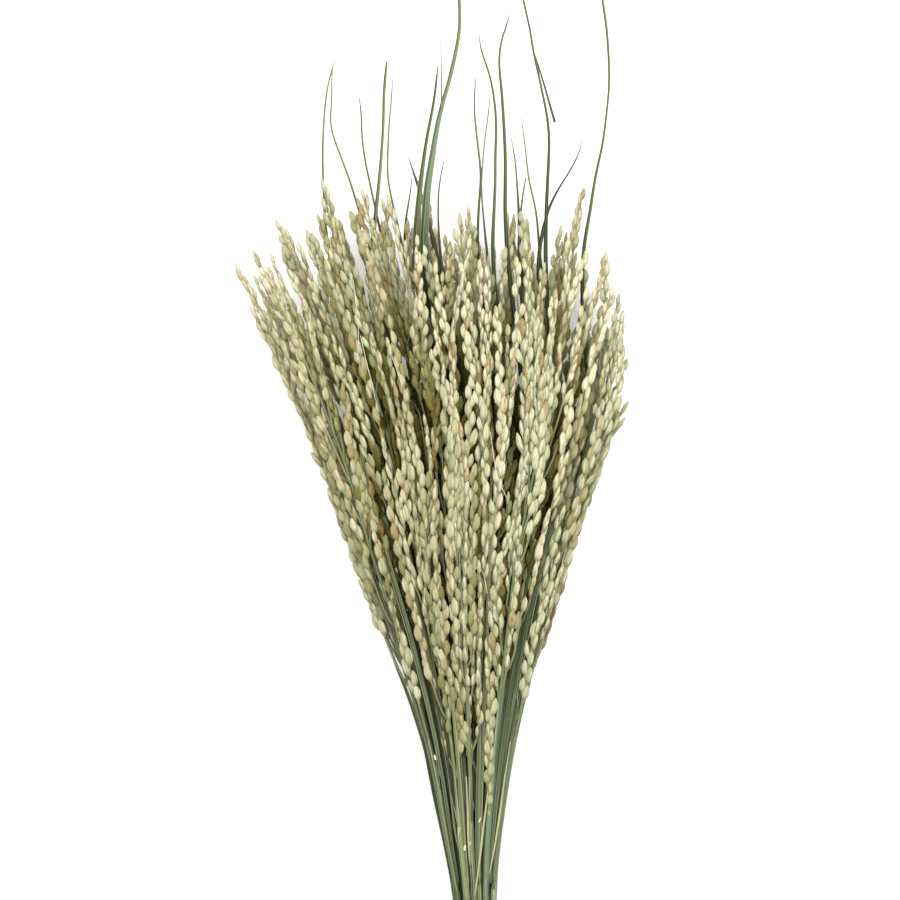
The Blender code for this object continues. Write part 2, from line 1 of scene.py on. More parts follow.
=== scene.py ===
"""How a tied bunch of dried rice looks, lying on a pale studio floor.

Metres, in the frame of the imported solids: +Y runs along the bunch from its cut ends, and +Z is up.
"Along" is the distance from the cut ends, and "across" the distance to the right of the neck. A
stalk's place is a point of the unit disc, which flow() carries along the opening bunch. Every
stalk's reach comes from its solids, and all of it is made again here in full, with every grain.
"""

import bisect
import math
import random

import bmesh
import bpy
import numpy as np
from mathutils import Matrix, Vector


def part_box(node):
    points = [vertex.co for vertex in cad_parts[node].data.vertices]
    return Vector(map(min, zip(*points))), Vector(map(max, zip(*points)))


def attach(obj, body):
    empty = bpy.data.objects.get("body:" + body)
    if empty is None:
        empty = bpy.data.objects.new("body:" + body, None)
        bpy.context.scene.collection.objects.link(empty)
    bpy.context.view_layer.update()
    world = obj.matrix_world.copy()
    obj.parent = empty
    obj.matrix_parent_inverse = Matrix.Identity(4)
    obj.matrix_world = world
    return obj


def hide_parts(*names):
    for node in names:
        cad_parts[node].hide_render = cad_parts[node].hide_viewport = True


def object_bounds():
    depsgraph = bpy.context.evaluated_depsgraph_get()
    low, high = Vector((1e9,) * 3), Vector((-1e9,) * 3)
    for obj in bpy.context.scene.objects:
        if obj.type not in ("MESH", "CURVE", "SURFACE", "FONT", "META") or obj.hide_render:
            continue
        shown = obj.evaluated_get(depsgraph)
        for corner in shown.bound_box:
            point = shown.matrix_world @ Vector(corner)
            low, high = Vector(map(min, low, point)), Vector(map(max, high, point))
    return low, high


MM = 0.001
UP = Vector((0, 0, 1))
ALONG = Vector((0, 1, 0))
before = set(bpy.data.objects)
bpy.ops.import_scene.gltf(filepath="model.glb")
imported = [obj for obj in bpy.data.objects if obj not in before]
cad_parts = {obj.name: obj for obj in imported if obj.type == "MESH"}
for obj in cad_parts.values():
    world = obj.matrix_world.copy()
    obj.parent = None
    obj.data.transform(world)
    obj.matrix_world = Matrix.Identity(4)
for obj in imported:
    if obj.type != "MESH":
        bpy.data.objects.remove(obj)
SOLIDS_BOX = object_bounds()
chance = random.Random(7)

# The stalks, and how the bunch opens: these are the values that the solids were made with. A row
# of OPENING says how far along it is, and the stalks' left, right, low and high edge there, in mm.
STALKS = 29
GOLDEN_ANGLE = math.radians(137.508)
EVEN_SPACING = 0.40
EVENING_ROUNDS = 80
EVENING_SHARE = 0.3
UNDERSIDE_FLATTENING = 0.55
FLATTENING_START = 140 * MM
FLATTENING_LENGTH = 100 * MM
LEAST_RIM_HEIGHT = 0.3
TIE_ALONG = 125 * MM
OPENING = (
    (0, -10, 10, 2.6, 22), (70, -8, 8, 2.9, 18.9), (125, -7.2, 7.2, 3.2, 17.6),
    (145, -8.4, 7.6, 2.9, 19.5), (165, -12, 9.2, 2.7, 23), (205, -20, 15.4, 2.5, 34),
    (245, -32, 24.5, 2.4, 48), (285, -46.5, 35, 2.4, 61), (325, -60, 49, 2.5, 73),
    (365, -78, 57, 2.5, 82), (400, -94, 57, 2.8, 88), (432, -106, 49, 4, 90),
)
# How light the stalks' greens are, from dark to pale, and how pale their heads are.
LIGHTNESSES = (0.02, 0.09, 0.18, 0.29, 0.39, 0.56, 0.9)
RIPENESSES = (0.29, 0.38, 0.54, 0.74)

# Tall leaves: where across the solid's blade stands at LEAF_FOOT_ALONG, the line of the blade from
# there to its tip as (across, along), and its width at the foot, in the middle and at the tip. All
# are in mm.
TALL_LEAVES = (
    (-61, ((-60.6, 420), (-61.2, 434.6), (-61.4, 443.4), (-61, 455.2), (-60, 467.5),
     (-58.2, 475.7), (-56.4, 481.5)), (1.2, 1.1, 0.4)),
    (-46, ((-46.2, 418.8), (-50.6, 433.4), (-54.7, 444), (-58.8, 455.2), (-57.6, 468.6),
     (-58.2, 474.5), (-57.4, 479.4)), (1.1, 1, 0.4)),
    (-41, ((-41.2, 425.8), (-42.6, 432.3), (-44.4, 440.5), (-45.8, 450.4), (-45.9, 460.4),
     (-46.8, 466.3)), (0.9, 0.9, 0.6)),
    (-40, ((-40.9, 413), (-39.4, 427), (-38.2, 438.7), (-37.1, 455.2), (-36.9, 468.6),
     (-35.8, 480.6)), (2, 1.5, 1.1)),
    (-34, ((-33.2, 423), (-34.4, 428.2), (-35.6, 435.8), (-35.3, 444), (-34.8, 456.3),
     (-33.8, 465.1), (-33.4, 473.9)), (1, 0.9, 0.35)),
    (-28, ((-27.7, 420.6), (-26.8, 425.8), (-25.9, 431.1), (-25.6, 436.4)), (0.9, 0.7, 0.4)),
    (-22, ((-20.8, 423), (-23, 430.5), (-25.6, 437.6), (-27, 442.2)), (2, 1.5, 0.5)),
    (-22, ((-23.6, 413), (-22.7, 425.8), (-21.2, 437.6), (-19.5, 449.3), (-17.4, 459.2),
     (-16, 468.6), (-15.2, 477.4)), (3.4, 1.9, 0.5)),
    (-20, ((-20.6, 413), (-19.5, 428.8), (-17.4, 441.6), (-15.7, 452.2), (-13.6, 461.6),
     (-10.7, 471), (-8.3, 481.5), (-6.6, 490.3), (-6.4, 496.2), (-6.8, 505), (-7.2, 513)),
     (4.2, 2.2, 0.9)),
    (-16, ((-15.1, 418.2), (-15.2, 427), (-14.2, 434.6), (-12.4, 442.8)), (0.9, 0.8, 0.35)),
    (0, ((0.8, 413), (1, 420), (2.2, 435.8), (0.4, 451), (-0.6, 460.4), (-0.7, 467.5),
     (0.2, 476.3)), (1.3, 1.1, 0.35)),
    (3, ((3.6, 413), (2.8, 421.1), (2.1, 431.7), (2.8, 440.5), (3.6, 451), (5, 459.2),
     (5.7, 467.5)), (1, 0.8, 0.35)),
    (6, ((6.9, 413), (7.8, 431.7), (7.7, 440.5), (8.2, 452.2), (8.1, 459.2), (6.6, 471),
     (4.6, 478.6), (1.6, 485.6), (1.3, 491.5)), (1.7, 1.4, 0.35)),
    (12, ((12, 413), (11.6, 421.8), (11.8, 431.7), (11.8, 443.4), (11.2, 455.2), (10.4, 468),
     (9.1, 479.8), (9.8, 488.6), (12.2, 494.4), (13.6, 500.3)), (1.8, 1.7, 0.35)),
    (17, ((17.4, 413), (17.2, 421.1), (16.5, 431.7), (15.7, 442.8), (14.1, 450.4)), (1.7, 1, 0.3)),
    (18, ((17.6, 416.2), (18.2, 422.9), (18.9, 428.2), (20.1, 434.6)), (1, 0.9, 0.6)),
    (24, ((26.8, 413), (28, 418.2), (29.5, 422.9), (31.8, 427.6), (35.4, 433.4), (38.9, 438.7),
     (41.2, 443.4), (42.7, 449.3)), (1.7, 1, 0.3)),
    (26, ((25, 413), (24.5, 420), (23, 427), (21, 434.6), (20.7, 439.3), (19.5, 450.4),
     (18.3, 458.7)), (1, 0.9, 0.3)),
    (27, ((27.6, 413), (28, 425.8), (28.6, 437.6), (29, 448.1), (28.3, 456.3), (26, 467.5),
     (24.2, 475.7), (22.4, 483.3), (21.6, 490.3), (18.2, 505), (16.8, 510.6)), (1.8, 1.2, 0.7)),
    (44, ((44.4, 413), (46.2, 422.9), (47.4, 431.7), (48.8, 438.7), (50.9, 447.5), (52.4, 459.2),
     (53.5, 469.8), (53.6, 478.6), (53.1, 487.4), (52.6, 494.4), (51, 505), (50.4, 509.8)),
     (1.7, 1.1, 1)),
)
LEAF_FOOT_ALONG = 405 * MM
# The tall leaves that show in front of the heads, how high these stand as a share of their place's
# height, and the level on the disc of the others, which stand at the middle of the heads.
FRONT_LEAVES = (7, 8, 18)
FRONT_LEAF_RISE = 0.75
FRONT_LEAF_LEAST = 0.6
BACK_LEAF_LEVEL = -0.3
BACK_LEAF_SPREAD = 0.2
# How a tall leaf crosses to its foot and sinks to its level, from its collar on.
LEAF_STRAIGHT_FROM = 325 * MM
LEAF_CROSSING_START = 30 * MM
LEAF_CROSSING_LENGTH = 160 * MM
LEAF_SINKING_LENGTH = 100 * MM
# Strips split off two of the blades: which tall leaf, then the line and the width, in mm.
SPLIT_STRIPS = (
    (8, ((-14.2, 459.5), (-13.6, 464), (-13.9, 475.7), (-14, 487.4)), 0.6),
    (18, ((22.4, 483.4), (23.6, 480.2), (25.7, 473.8), (28.3, 464.6), (31.1, 454.7)), 1),
)
# Loose blades on the outside of the bunch: place on the disc, then from where to where along it
# and how wide, in mm.
OUTER_BLADES = (
    ((0.7, 0.7), 150, 288, 2.6), ((0.78, 0.56), 155, 306, 2.3), ((0.6, 0.8), 160, 262, 1.8),
    ((0.88, 0.4), 150, 296, 1.9), ((0.99, 0.1), 150, 268, 1.6), ((0.94, 0.33), 150, 282, 1.2),
    ((0.42, 0.9), 150, 250, 1.3), ((0, 1), 150, 232, 1.1), ((-0.5, 0.86), 150, 246, 1.1),
    ((-0.75, 0.66), 150, 262, 1.2), ((-0.88, 0.47), 150, 250, 1), ((-0.97, 0.35), 150, 240, 1.1),
    ((-0.3, 0.95), 150, 238, 1.6), ((0.2, 0.97), 150, 226, 1.9),
)
# The blade that stands off the bunch's left edge, as (across, along), and its width, in mm.
LEFT_BLADE = (
    ((-9.4, 150), (-11.4, 160), (-13.4, 170), (-16.6, 185), (-20.4, 205), (-26.8, 225),
     (-34.6, 245), (-41.8, 265), (-45, 273)),
    1.7,
)
# Pale dry strips that lie on the upper side: their lines as (across, along), and widths, in mm.
PALE_STRIPS = (
    (((13.9, 208), (12.9, 201), (11.8, 195), (9.8, 179), (7.8, 166), (5.5, 154)), 0.9),
    (((6.5, 200), (5.3, 192), (4.3, 183), (2.9, 173), (1.8, 162), (0.4, 151), (-0.4, 145)), 0.9),
    (((-3.9, 194), (-3.3, 182), (-3.1, 173), (-2.9, 166), (-2.4, 158)), 0.9),
    (((36, 286), (33.8, 276), (31, 265), (28.2, 254), (25.2, 243)), 1.1),
)
# Torn scraps of leaf collar on the stems: across and along, in mm.
COLLAR_SCRAPS = (
    (-16.4, 201.4), (-4.4, 164.8), (-2.6, 166.3), (1.6, 176.2), (5.4, 179.2), (10, 169.8),
)
LEAF_THICKNESS = 0.22 * MM
SCRAP_THICKNESS = 0.15 * MM
LEAF_STEP = 5 * MM
CULM_STEP = 6 * MM
SHEATH_RADIUS = 1.18 * MM
ROLLED_HALF_TURN = math.radians(165)
# Tints of blades, as (dryness, lightness, blueness).
DRY_TINT = (1.9, 0.9, 0.3)
LEFT_BLADE_TINT = (0.1, 0.14, 0.5)
# How much light the inside of the bunch loses.
INNER_SHADE = 0.85

# Tips of the strands that make the crown's outline: across and along, in mm.
CROWN_TIPS = (
    (-97.4, 401), (-91.5, 383.6), (-87.9, 405.6), (-87.4, 397.8), (-81.4, 404.6), (-80.5, 420),
    (-76, 417), (-71.8, 411.4), (-63.1, 421.2), (-61.4, 433.8), (-55.2, 420), (-51, 422.8),
    (-45, 431.6), (-38, 425.8), (-35.4, 427.6), (-27.8, 418.8), (-25.4, 415.6), (-18, 426.2),
    (-17.8, 412.2), (-12.8, 414.4), (-8.1, 416.2), (-5.3, 421.5), (-1.6, 425.8), (3.8, 406.8),
    (8.2, 407.2), (12.6, 422.2), (14.9, 417.4), (18.2, 421.8), (21.1, 410.8), (22.4, 392.8),
    (25, 386.4), (30.2, 386.8), (33.3, 400.2), (35.1, 417), (38.1, 412.2), (40.8, 415.1),
    (44.1, 431.3), (46.2, 398.6), (49.8, 367), (53.1, 378.8), (53.8, 406.2), (57.2, 390.6),
    (59.4, 379.4), (62, 346.2),
)
# Tips of strands that end on the bunch's upper side, below the crown.
FRONT_TIPS = (
    (-39.4, 396.6), (-42.4, 375), (-30.2, 358.2), (-22.6, 389.8), (-16.8, 367.8), (-6.8, 400.2),
    (0.4, 401.8), (8.8, 385), (13.2, 376.2), (18.8, 383.8), (26.2, 376.2), (34, 369),
    (42.4, 376.2), (-56, 359), (-64, 377.8), (-49.6, 385), (-10.8, 353), (-2.4, 356.2),
    (-70.4, 386.6), (39.2, 348.2), (50.8, 346.6), (-9.6, 373), (-3.2, 385), (4.4, 380.2),
    (-15.6, 400.2), (-18.4, 385), (14.4, 364.2), (28.8, 361), (-36, 373), (-58.4, 373),
    (-13.6, 398), (-9.2, 408), (-2.4, 411), (5.6, 398.4), (10.8, 405.6), (16.4, 403), (22, 399),
    (27.6, 402.4), (-24.4, 404),
)
# Strands that start on the stems, below their heads: where each starts and ends, as (across,
# along) in mm.
LOW_STRANDS = (
    ((4.8, 174), (6, 250)), ((19, 203), (33, 290)), ((-19, 205), (-39, 275)),
)
# Pale threads that hang loose on the heads, as (across, along) in mm, and their thickness.
THREADS = (
    (((-45.8, 370.2), (-44.6, 366), (-43.2, 358), (-40.6, 350.4), (-40, 345)), 0.26),
    (((-48.6, 392), (-47.2, 381), (-46.4, 372), (-46.8, 362)), 0.22),
    (((-35.4, 367), (-33, 361), (-30.6, 354.6), (-29.2, 349.6)), 0.24),
    (((5.6, 332), (6.8, 322), (8.2, 314), (12, 306)), 0.22),
    (((-1.6, 276), (0.6, 281), (3, 277), (4.4, 268)), 0.2),
)
# Heads: where each strand of grain leaves the rachis and where it ends, as shares of the head.
STRANDS = (
    (0.62, 1), (0.5, 0.97), (0.44, 0.98), (0.38, 0.95), (0.56, 0.9), (0.33, 0.91), (0.28, 0.84),
    (0.23, 0.67), (0.18, 0.6), (0.13, 0.53), (0.09, 0.46), (0.05, 0.39), (0.02, 0.31),
)
STRAND_SPREAD = 0.20
STRAIGHT_FROM = 325 * MM
STRAIGHT_LEAN = 0.29
STRAND_LEAVING = 18 * MM
STRAND_ROOM = 3.7 * MM
HEAD_ROOM = 6.4 * MM
SHORTEST_STRAND = 34 * MM
# No strand starts lower than this on the stalks at the left, and at its very edge.
LEFT_HEADS_FROM = 196
LEFT_EDGE_HEADS_FROM = 200
# The upper side eases off above the first of these heights, and stays below the second.
EASED_FROM = 70 * MM
HIGHEST_STRAND = 79.2 * MM
LOWEST_STRAND = 4.4 * MM
# How far the heads may reach past the solids' box at the sides.
SIDE_ALLOWANCE = 5.2 * MM
SETTLING_ROUNDS = 16
SETTLING_PUSH = 0.3
LEVEL_STEP = 6 * MM
# The cells of the floor that say how high the strands over them reach.
COVER_CELL = 2.4 * MM
COVER_STEP = 2 * MM
COVER_FALL = 1.3 * MM
# Grains. A few stand off their strand, and a few are missing.
GRAIN_LENGTH = 8.0 * MM
GRAIN_HALF_WIDTH = 1.70 * MM
GRAIN_HALF_THICKNESS = 1.10 * MM
GRAIN_STEP = 3.5 * MM
ODD_GRAINS = 0.03
SAME_RANK = 0.12
HEADS_FROM = 190 * MM
HEADS_LENGTH = 240 * MM

# The tie: two plies of twine, their lay, and the winding, knot and ends.
TIE_HEIGHT = 10.4 * MM
TIE_RADIUS = 9.85 * MM
TIE_TURNS = 3
TIE_PITCH = 1.75 * MM
TIE_STEPS = 420
TIE_LOWEST = 1.0 * MM
PLY_RADIUS = 0.5 * MM
PLY_OFFSET = 0.46 * MM
PLY_LAY = 3.4 * MM
KNOT_RADIUS = 0.72 * MM
KNOT_SIZE = 1.25 * MM
KNOT_STEPS = 60
END_STEPS = 12
END_FIBRES = 9

# Camera: the photograph's frame, seen from above because the bunch lies down.
VIEW_CENTRE = (-10.4 * MM, 325 * MM)
VIEW_WIDTH = 360 * MM
VIEW_DISTANCE = 2.5
VIEW_HEIGHT = 0.04
SENSOR_WIDTH = 36.0


# Numbers and lines


def smooth(share):
    """0 below 0, 1 above 1, and an even S between."""
    share = min(max(share, 0.0), 1.0)
    return share * share * (3 - 2 * share)


def cubic(t, start, leaving, end, arriving):
    """The curve from start to end that has these slopes at both."""
    return (
        start * (2 * t**3 - 3 * t**2 + 1)
        + leaving * (t**3 - 2 * t**2 + t)
        + end * (3 * t**2 - 2 * t**3)
        + arriving * (t**3 - t**2)
    )


def evenly(start, end, count):
    """Even values from start to end, with count steps between them."""
    return [start + (end - start) * k / count for k in range(count + 1)]


def round_about(turn):
    """The direction in a plane at this angle."""
    return Vector((math.cos(turn), math.sin(turn)))


class Wave:
    """An even swing along a line, of a drawn length."""

    def __init__(self, shortest, longest):
        self.length = chance.uniform(shortest, longest) * MM
        self.start = chance.uniform(0, 6)

    def at(self, distance, rate=1.0, shift=0.0):
        return math.sin(distance / self.length * rate + shift + self.start)


class Route:
    """A line through points, read by the distance walked along it."""

    def __init__(self, points):
        self.points = points
        self.walked = [0.0]
        for a, b in zip(points, points[1:]):
            self.walked.append(self.walked[-1] + (b - a).length)
        self.length = self.walked[-1]

    def at(self, distance):
        """(point, direction) there."""
        distance = min(max(distance, 0.0), self.length)
        k = min(max(bisect.bisect_left(self.walked, distance) - 1, 0), len(self.points) - 2)
        a, b = self.points[k], self.points[k + 1]
        share = (distance - self.walked[k]) / max(self.walked[k + 1] - self.walked[k], 1e-9)
        before, after = self.points[max(k - 1, 0)], self.points[min(k + 2, len(self.points) - 1)]
        direction = ((b - before) * (1 - share) + (after - a) * share).normalized()
        return a.lerp(b, share), direction


def rounded(points):
    """The same line with points every 3 mm and its corners eased."""
    route = Route(points)
    count = max(int(route.length / (3 * MM)), 4)
    line = [route.at(distance)[0] for distance in evenly(0, route.length, count)]
    for _ in range(2):
        inner = [(a + b * 2 + c) / 4 for a, b, c in zip(line, line[1:], line[2:])]
        line = [line[0], *inner, line[-1]]
    return line


def axes_of(direction, turn=0.0, pole=UP):
    """Two directions across a line, the first of them level, turned about it."""
    side = direction.cross(pole).normalized()
    up = side.cross(direction).normalized()
    return (
        side * math.cos(turn) + up * math.sin(turn),
        up * math.cos(turn) - side * math.sin(turn),
    )


# Where things are


def neck():
    """The point under the tie's middle, at the cut ends' level."""
    low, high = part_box("tie")
    return Vector(((low.x + high.x) / 2, (low.y + high.y) / 2 - TIE_ALONG, 0))


NECK = neck()


def spot(x, along, z=0.0):
    """The point this far across, along and up."""
    return NECK + Vector((x, along, z))


def bunch_edges(along):
    """Left, right, low and high edge of the stalk centres at a distance along the bunch."""
    rows = OPENING
    at = min(max(along / MM, rows[0][0]), rows[-1][0])
    k = next(i for i in range(len(rows) - 1) if at <= rows[i + 1][0])
    before, low, high = rows[max(k - 1, 0)], rows[k], rows[k + 1]
    after = rows[min(k + 2, len(rows) - 1)]
    span = high[0] - low[0]
    beyond = max(along - rows[-1][0] * MM, 0)
    edges = []
    for column in range(1, 5):
        slope_low = (high[column] - before[column]) / (high[0] - before[0]) * span
        slope_high = (after[column] - low[column]) / (after[0] - low[0]) * span
        edge = cubic((at - low[0]) / span, low[column], slope_low, high[column], slope_high)
        rise = (rows[-1][column] - rows[-2][column]) / (rows[-1][0] - rows[-2][0])
        edges.append(MM * edge + rise * beyond)
    return edges


def strand_edges(along):
    """The same edges for the strands of grain, which run straight on at the right."""
    edges = bunch_edges(along)
    if edges[3] > EASED_FROM:
        room = HIGHEST_STRAND - EASED_FROM
        edges[3] = EASED_FROM + room * (1 - math.exp((EASED_FROM - edges[3]) / room))
    if along > STRAIGHT_FROM:
        edges[1] = bunch_edges(STRAIGHT_FROM)[1] + (along - STRAIGHT_FROM) * STRAIGHT_LEAN
    return edges


def section(along, edges_at=bunch_edges):
    """Where the bunch's middle is there, across and up, and half its width and height."""
    left, right, low, high = edges_at(along)
    return (left + right) / 2, (low + high) / 2, (right - left) / 2, (high - low) / 2


def flow(place, along, edges_at=bunch_edges):
    """The point that a place on the disc has reached at a distance along the bunch."""
    middle, level, half_width, half_height = section(along, edges_at)
    across, up = place
    if up < 0:
        flattening = UNDERSIDE_FLATTENING * smooth((along - FLATTENING_START) / FLATTENING_LENGTH)
        rim = math.sqrt(max(1 - across * across, 0))
        up /= max(rim, LEAST_RIM_HEIGHT) ** flattening
    return spot(middle + half_width * across, along, level + half_height * up)


def disc_of(x, along, up, edges_at=bunch_edges):
    """The place on the disc whose stalk would stand at x there, at this height on the disc."""
    middle, _, half_width, _ = section(along, edges_at)
    return Vector(((x - middle) / half_width, up))


def on_top(x, along, least=0.0):
    """The place at the top of the disc whose stalk would stand at x there."""
    disc = disc_of(x, along, 0.0)
    disc.y = math.sqrt(max(1 - min(abs(disc.x), 1) ** 2, least))
    return disc


def off_middle(point, edges_at):
    """How far across and up a point is from the bunch's middle: 1 is at its edge."""
    middle, level, half_width, half_height = section(point.y - NECK.y, edges_at)
    return (point.x - NECK.x - middle) / half_width, (point.z - level) / half_height


def hidden(point):
    """How far the bunch's own green parts shut the light off: 0 at its outside, 1 deep in."""
    along = point.y - NECK.y
    _, _, half_width, half_height = section(along)
    depth = (1 - math.hypot(*off_middle(point, bunch_edges))) * min(half_width, half_height)
    in_heads = smooth((along / MM - 395) / 45)
    return smooth((depth - 0.9 * MM) / (4.5 * MM)) * (1 - in_heads)


def cell_of(point):
    """The cell of the floor that a point is over."""
    return round(point.x / COVER_CELL), round(point.y / COVER_CELL)


def stalk_places():
    """Places of the stalks on the disc: a sunflower spiral, evened out."""
    places = [
        math.sqrt((k + 0.5) / STALKS) * round_about(k * GOLDEN_ANGLE) for k in range(STALKS)
    ]
    for _ in range(EVENING_ROUNDS):
        moved = []
        for here in places:
            push = Vector((0.0, 0.0))
            for other in places:
                away = here - other
                if 0 < away.length < EVEN_SPACING:
                    push += away.normalized() * (EVEN_SPACING - away.length)
            moved.append(here + push * EVENING_SHARE)
        places = [p if p.length <= 1 else p.normalized() for p in moved]
    return places


class Stalk:
    """One stalk of the bunch, with the reach that its solids have."""

    def __init__(self, number, place):
        self.number = number
        self.place = place
        self.stem_node = f"leafy_stem_{number:02d}"
        self.head_node = f"grain_head_{number:02d}"
        self.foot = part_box(self.stem_node)[0].y - NECK.y
        self.base, self.tip = (corner.y - NECK.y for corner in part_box(self.head_node))
        self.length = self.tip - self.base
        self.collar = min(chance.uniform(168, 222) * MM, self.base - 12 * MM)
        self.sheath_foot = chance.uniform(131, 152) * MM
        self.green = chance.uniform(0, 1)
        self.light = chance.choice(LIGHTNESSES) + chance.gauss(0, 0.06)
        self.ripeness = chance.choice(RIPENESSES)
        self.leaf = None


# Finishes


def arithmetic(operation, reflected=False):
    """The method of an operator, which adds its Math node."""

    def method(self, other):
        return self.math(operation, *((other, self) if reflected else (self, other)))

    return method


class Value:
    """A socket of a finish. Arithmetic on it adds the Math nodes."""

    def __init__(self, finish, socket):
        self.finish = finish
        self.socket = socket

    def math(self, operation, *terms):
        sockets = dict(enumerate(terms))
        return self.finish.node("ShaderNodeMath", {"operation": operation}, sockets)["Value"]

    __add__, __radd__ = arithmetic("ADD"), arithmetic("ADD", True)
    __sub__, __rsub__ = arithmetic("SUBTRACT"), arithmetic("SUBTRACT", True)
    __mul__, __rmul__ = arithmetic("MULTIPLY"), arithmetic("MULTIPLY", True)

    def __abs__(self):
        return self.math("ABSOLUTE", self)

    def sine(self):
        return self.math("SINE", self)

    def between(self, low, high):
        """0 at low, 1 at high, and an even S between."""
        outputs = self.finish.node(
            "ShaderNodeMapRange",
            {"interpolation_type": "SMOOTHSTEP"},
            {"Value": self, "From Min": low, "From Max": high},
        )
        return outputs["Result"]


class Finish:
    """A material under construction."""

    def __init__(self, name):
        self.material = bpy.data.materials.new(name)
        self.material.use_nodes = True
        self.tree = self.material.node_tree
        self.shader = self.tree.nodes["Principled BSDF"]

    def put(self, socket, value):
        if isinstance(value, Value):
            self.tree.links.new(value.socket, socket)
        elif isinstance(value, tuple) and len(value) == 3 and len(socket.default_value) == 4:
            socket.default_value = (*value, 1.0)
        else:
            socket.default_value = value

    def node(self, kind, settings=None, sockets=None):
        """Adds a node of this kind, and returns its outputs by name."""
        node = self.tree.nodes.new(kind)
        for name, setting in (settings or {}).items():
            if name == "stops":
                ramp = node.color_ramp.elements
                while len(ramp) < len(setting):
                    ramp.new(0.5)
                for element, (position, colour) in zip(ramp, setting):
                    element.position = position
                    element.color = (*colour, 1.0)
            else:
                setattr(node, name, setting)
        for name, value in (sockets or {}).items():
            self.put(node.inputs[name], value)
        return {out.name: Value(self, out) for out in node.outputs if out.enabled}

    def lay(self):
        """Where each point lies on its piece before it was bent."""
        return self.node("ShaderNodeAttribute", {"attribute_name": "lay"})["Vector"]

    def tint(self):
        """The four numbers of a piece's tint."""
        outputs = self.node("ShaderNodeAttribute", {"attribute_name": "tint"})
        return *self.parts(outputs["Color"]), outputs["Alpha"]

    def parts(self, vector):
        """The three numbers of a vector or colour."""
        outputs = self.node("ShaderNodeSeparateXYZ", None, {"Vector": vector})
        return outputs["X"], outputs["Y"], outputs["Z"]

    def noise(self, vector, stretch, scale=1.0, detail=3.0, shift=(0.0, 0.0, 0.0)):
        """Noise of a vector that is scaled by three numbers, and moved."""
        for operation, by in (("MULTIPLY", stretch), ("ADD", shift)):
            sockets = {0: vector, 1: by}
            vector = self.node("ShaderNodeVectorMath", {"operation": operation}, sockets)["Vector"]
        outputs = self.node(
            "ShaderNodeTexNoise",
            {"noise_dimensions": "3D"},
            {"Vector": vector, "Scale": scale, "Detail": detail, "Roughness": 0.55},
        )
        return outputs["Fac"]

    def mix(self, share, first, second):
        """The second colour over the first."""
        sockets = {0: share, 6: first, 7: second}
        return self.node("ShaderNodeMix", {"data_type": "RGBA"}, sockets)["Result"]

    def coated(self, body, *coats):
        """A colour under coats, each with its share and colour."""
        for share, colour in coats:
            body = self.mix(share, body, colour)
        return body

    def finished(self, colour, roughness, relief=None, depth=0.0, strength=1.0):
        inputs = self.shader.inputs
        inputs["Specular IOR Level"].default_value = 0.12
        self.put(inputs["Base Color"], colour)
        self.put(inputs["Roughness"], roughness)
        if relief is not None:
            sockets = {"Height": relief, "Distance": depth, "Strength": strength}
            self.put(inputs["Normal"], self.node("ShaderNodeBump", None, sockets)["Normal"])
        return self.material


def husk_finish():
    """Husks: cream to green, ribbed lengthwise, tan at the beak, with rusty spots on some.

    The tint is (greenness, lightness with painted shade in it, rust, its own number); lay runs from
    -1 to 1 across the grain and from 0 to 1 up it.
    """
    f = Finish("husk")
    lay = f.lay()
    across, _, up = f.parts(lay)
    green, light, rust, number = f.tint()
    shift = f.node("ShaderNodeCombineXYZ", None, {"X": number * 37, "Y": number * 91})["Vector"]
    fine = f.noise(lay, (5.0, 5.0, 1.6), 1.6, shift=shift)
    patch = f.noise(lay, (1.2, 1.2, 2.6), 1.1, detail=2.0, shift=shift)
    ribs = (across * 9.5).sine() * 0.5 + 0.5
    margin = abs(across).between(0.35, 0.6) * (1 - abs(across).between(0.7, 0.9))
    # rim: the husk's own darker edge, and painted shade where neighbouring grains meet
    rim = abs(across).between(0.7, 1.0)
    # Painted shade: where the tint's lightness falls below 0, deep under other strands, the husk
    # darkens to near black
    painted_deep_shade = (0 - light).between(0.0, 0.5)
    # Painted shade darkens the grain's tucked-in base.
    tucked_shade = 1 - up.between(0.05, 0.42)
    beak = up.between(0.80, 1.0)
    glumes = 1 - up.between(0.02, 0.13)
    base = f.mix(green, (0.21, 0.17, 0.035), (0.13, 0.142, 0.027))
    pale = f.mix(green, (0.66, 0.61, 0.415), (0.47, 0.505, 0.315))
    body = f.coated(
        f.mix(light * 0.8 + fine * 0.35, base, pale),
        (painted_deep_shade * 0.95, (0.030, 0.022, 0.002)),
        (ribs * 0.2 * light.between(0.0, 0.4), (0.28, 0.25, 0.115)),
        (margin * 0.28 * light.between(0.1, 0.5), (0.74, 0.70, 0.49)),
        (rim * 0.6 * light.between(0.0, 0.5), (0.15, 0.14, 0.04)),
        (tucked_shade * 0.5, (0.10, 0.095, 0.028)),
        (beak * 0.45, (0.40, 0.28, 0.12)),
        (glumes * 0.5, (0.30, 0.31, 0.15)),
        (patch.between(0.5, 0.66) * rust, (0.36, 0.16, 0.05)),
        (rust.between(0.7, 1.1) * 0.8, (0.27, 0.18, 0.06)),
    )
    return f.finished(body, 0.52 + fine * 0.28, ribs * 0.5 + fine * 0.5, 0.00035, 0.6)


def branchlet_finish():
    """Rachis and branchlets: greenish straw, with lengthwise fibres."""
    f = Finish("branchlet")
    green, light, _, _ = f.tint()
    fibre = f.noise(f.lay(), (2600.0, 2600.0, 90.0))
    straw = f.mix(light, (0.16, 0.14, 0.055), (0.38, 0.34, 0.18))
    leafy = f.mix(light, (0.07, 0.10, 0.035), (0.21, 0.27, 0.135))
    body = f.coated(straw, (green, leafy), (fibre.between(0.45, 0.75) * 0.4, (0.13, 0.12, 0.05)))
    return f.finished(body, 0.6, fibre, 0.0002, 0.5)


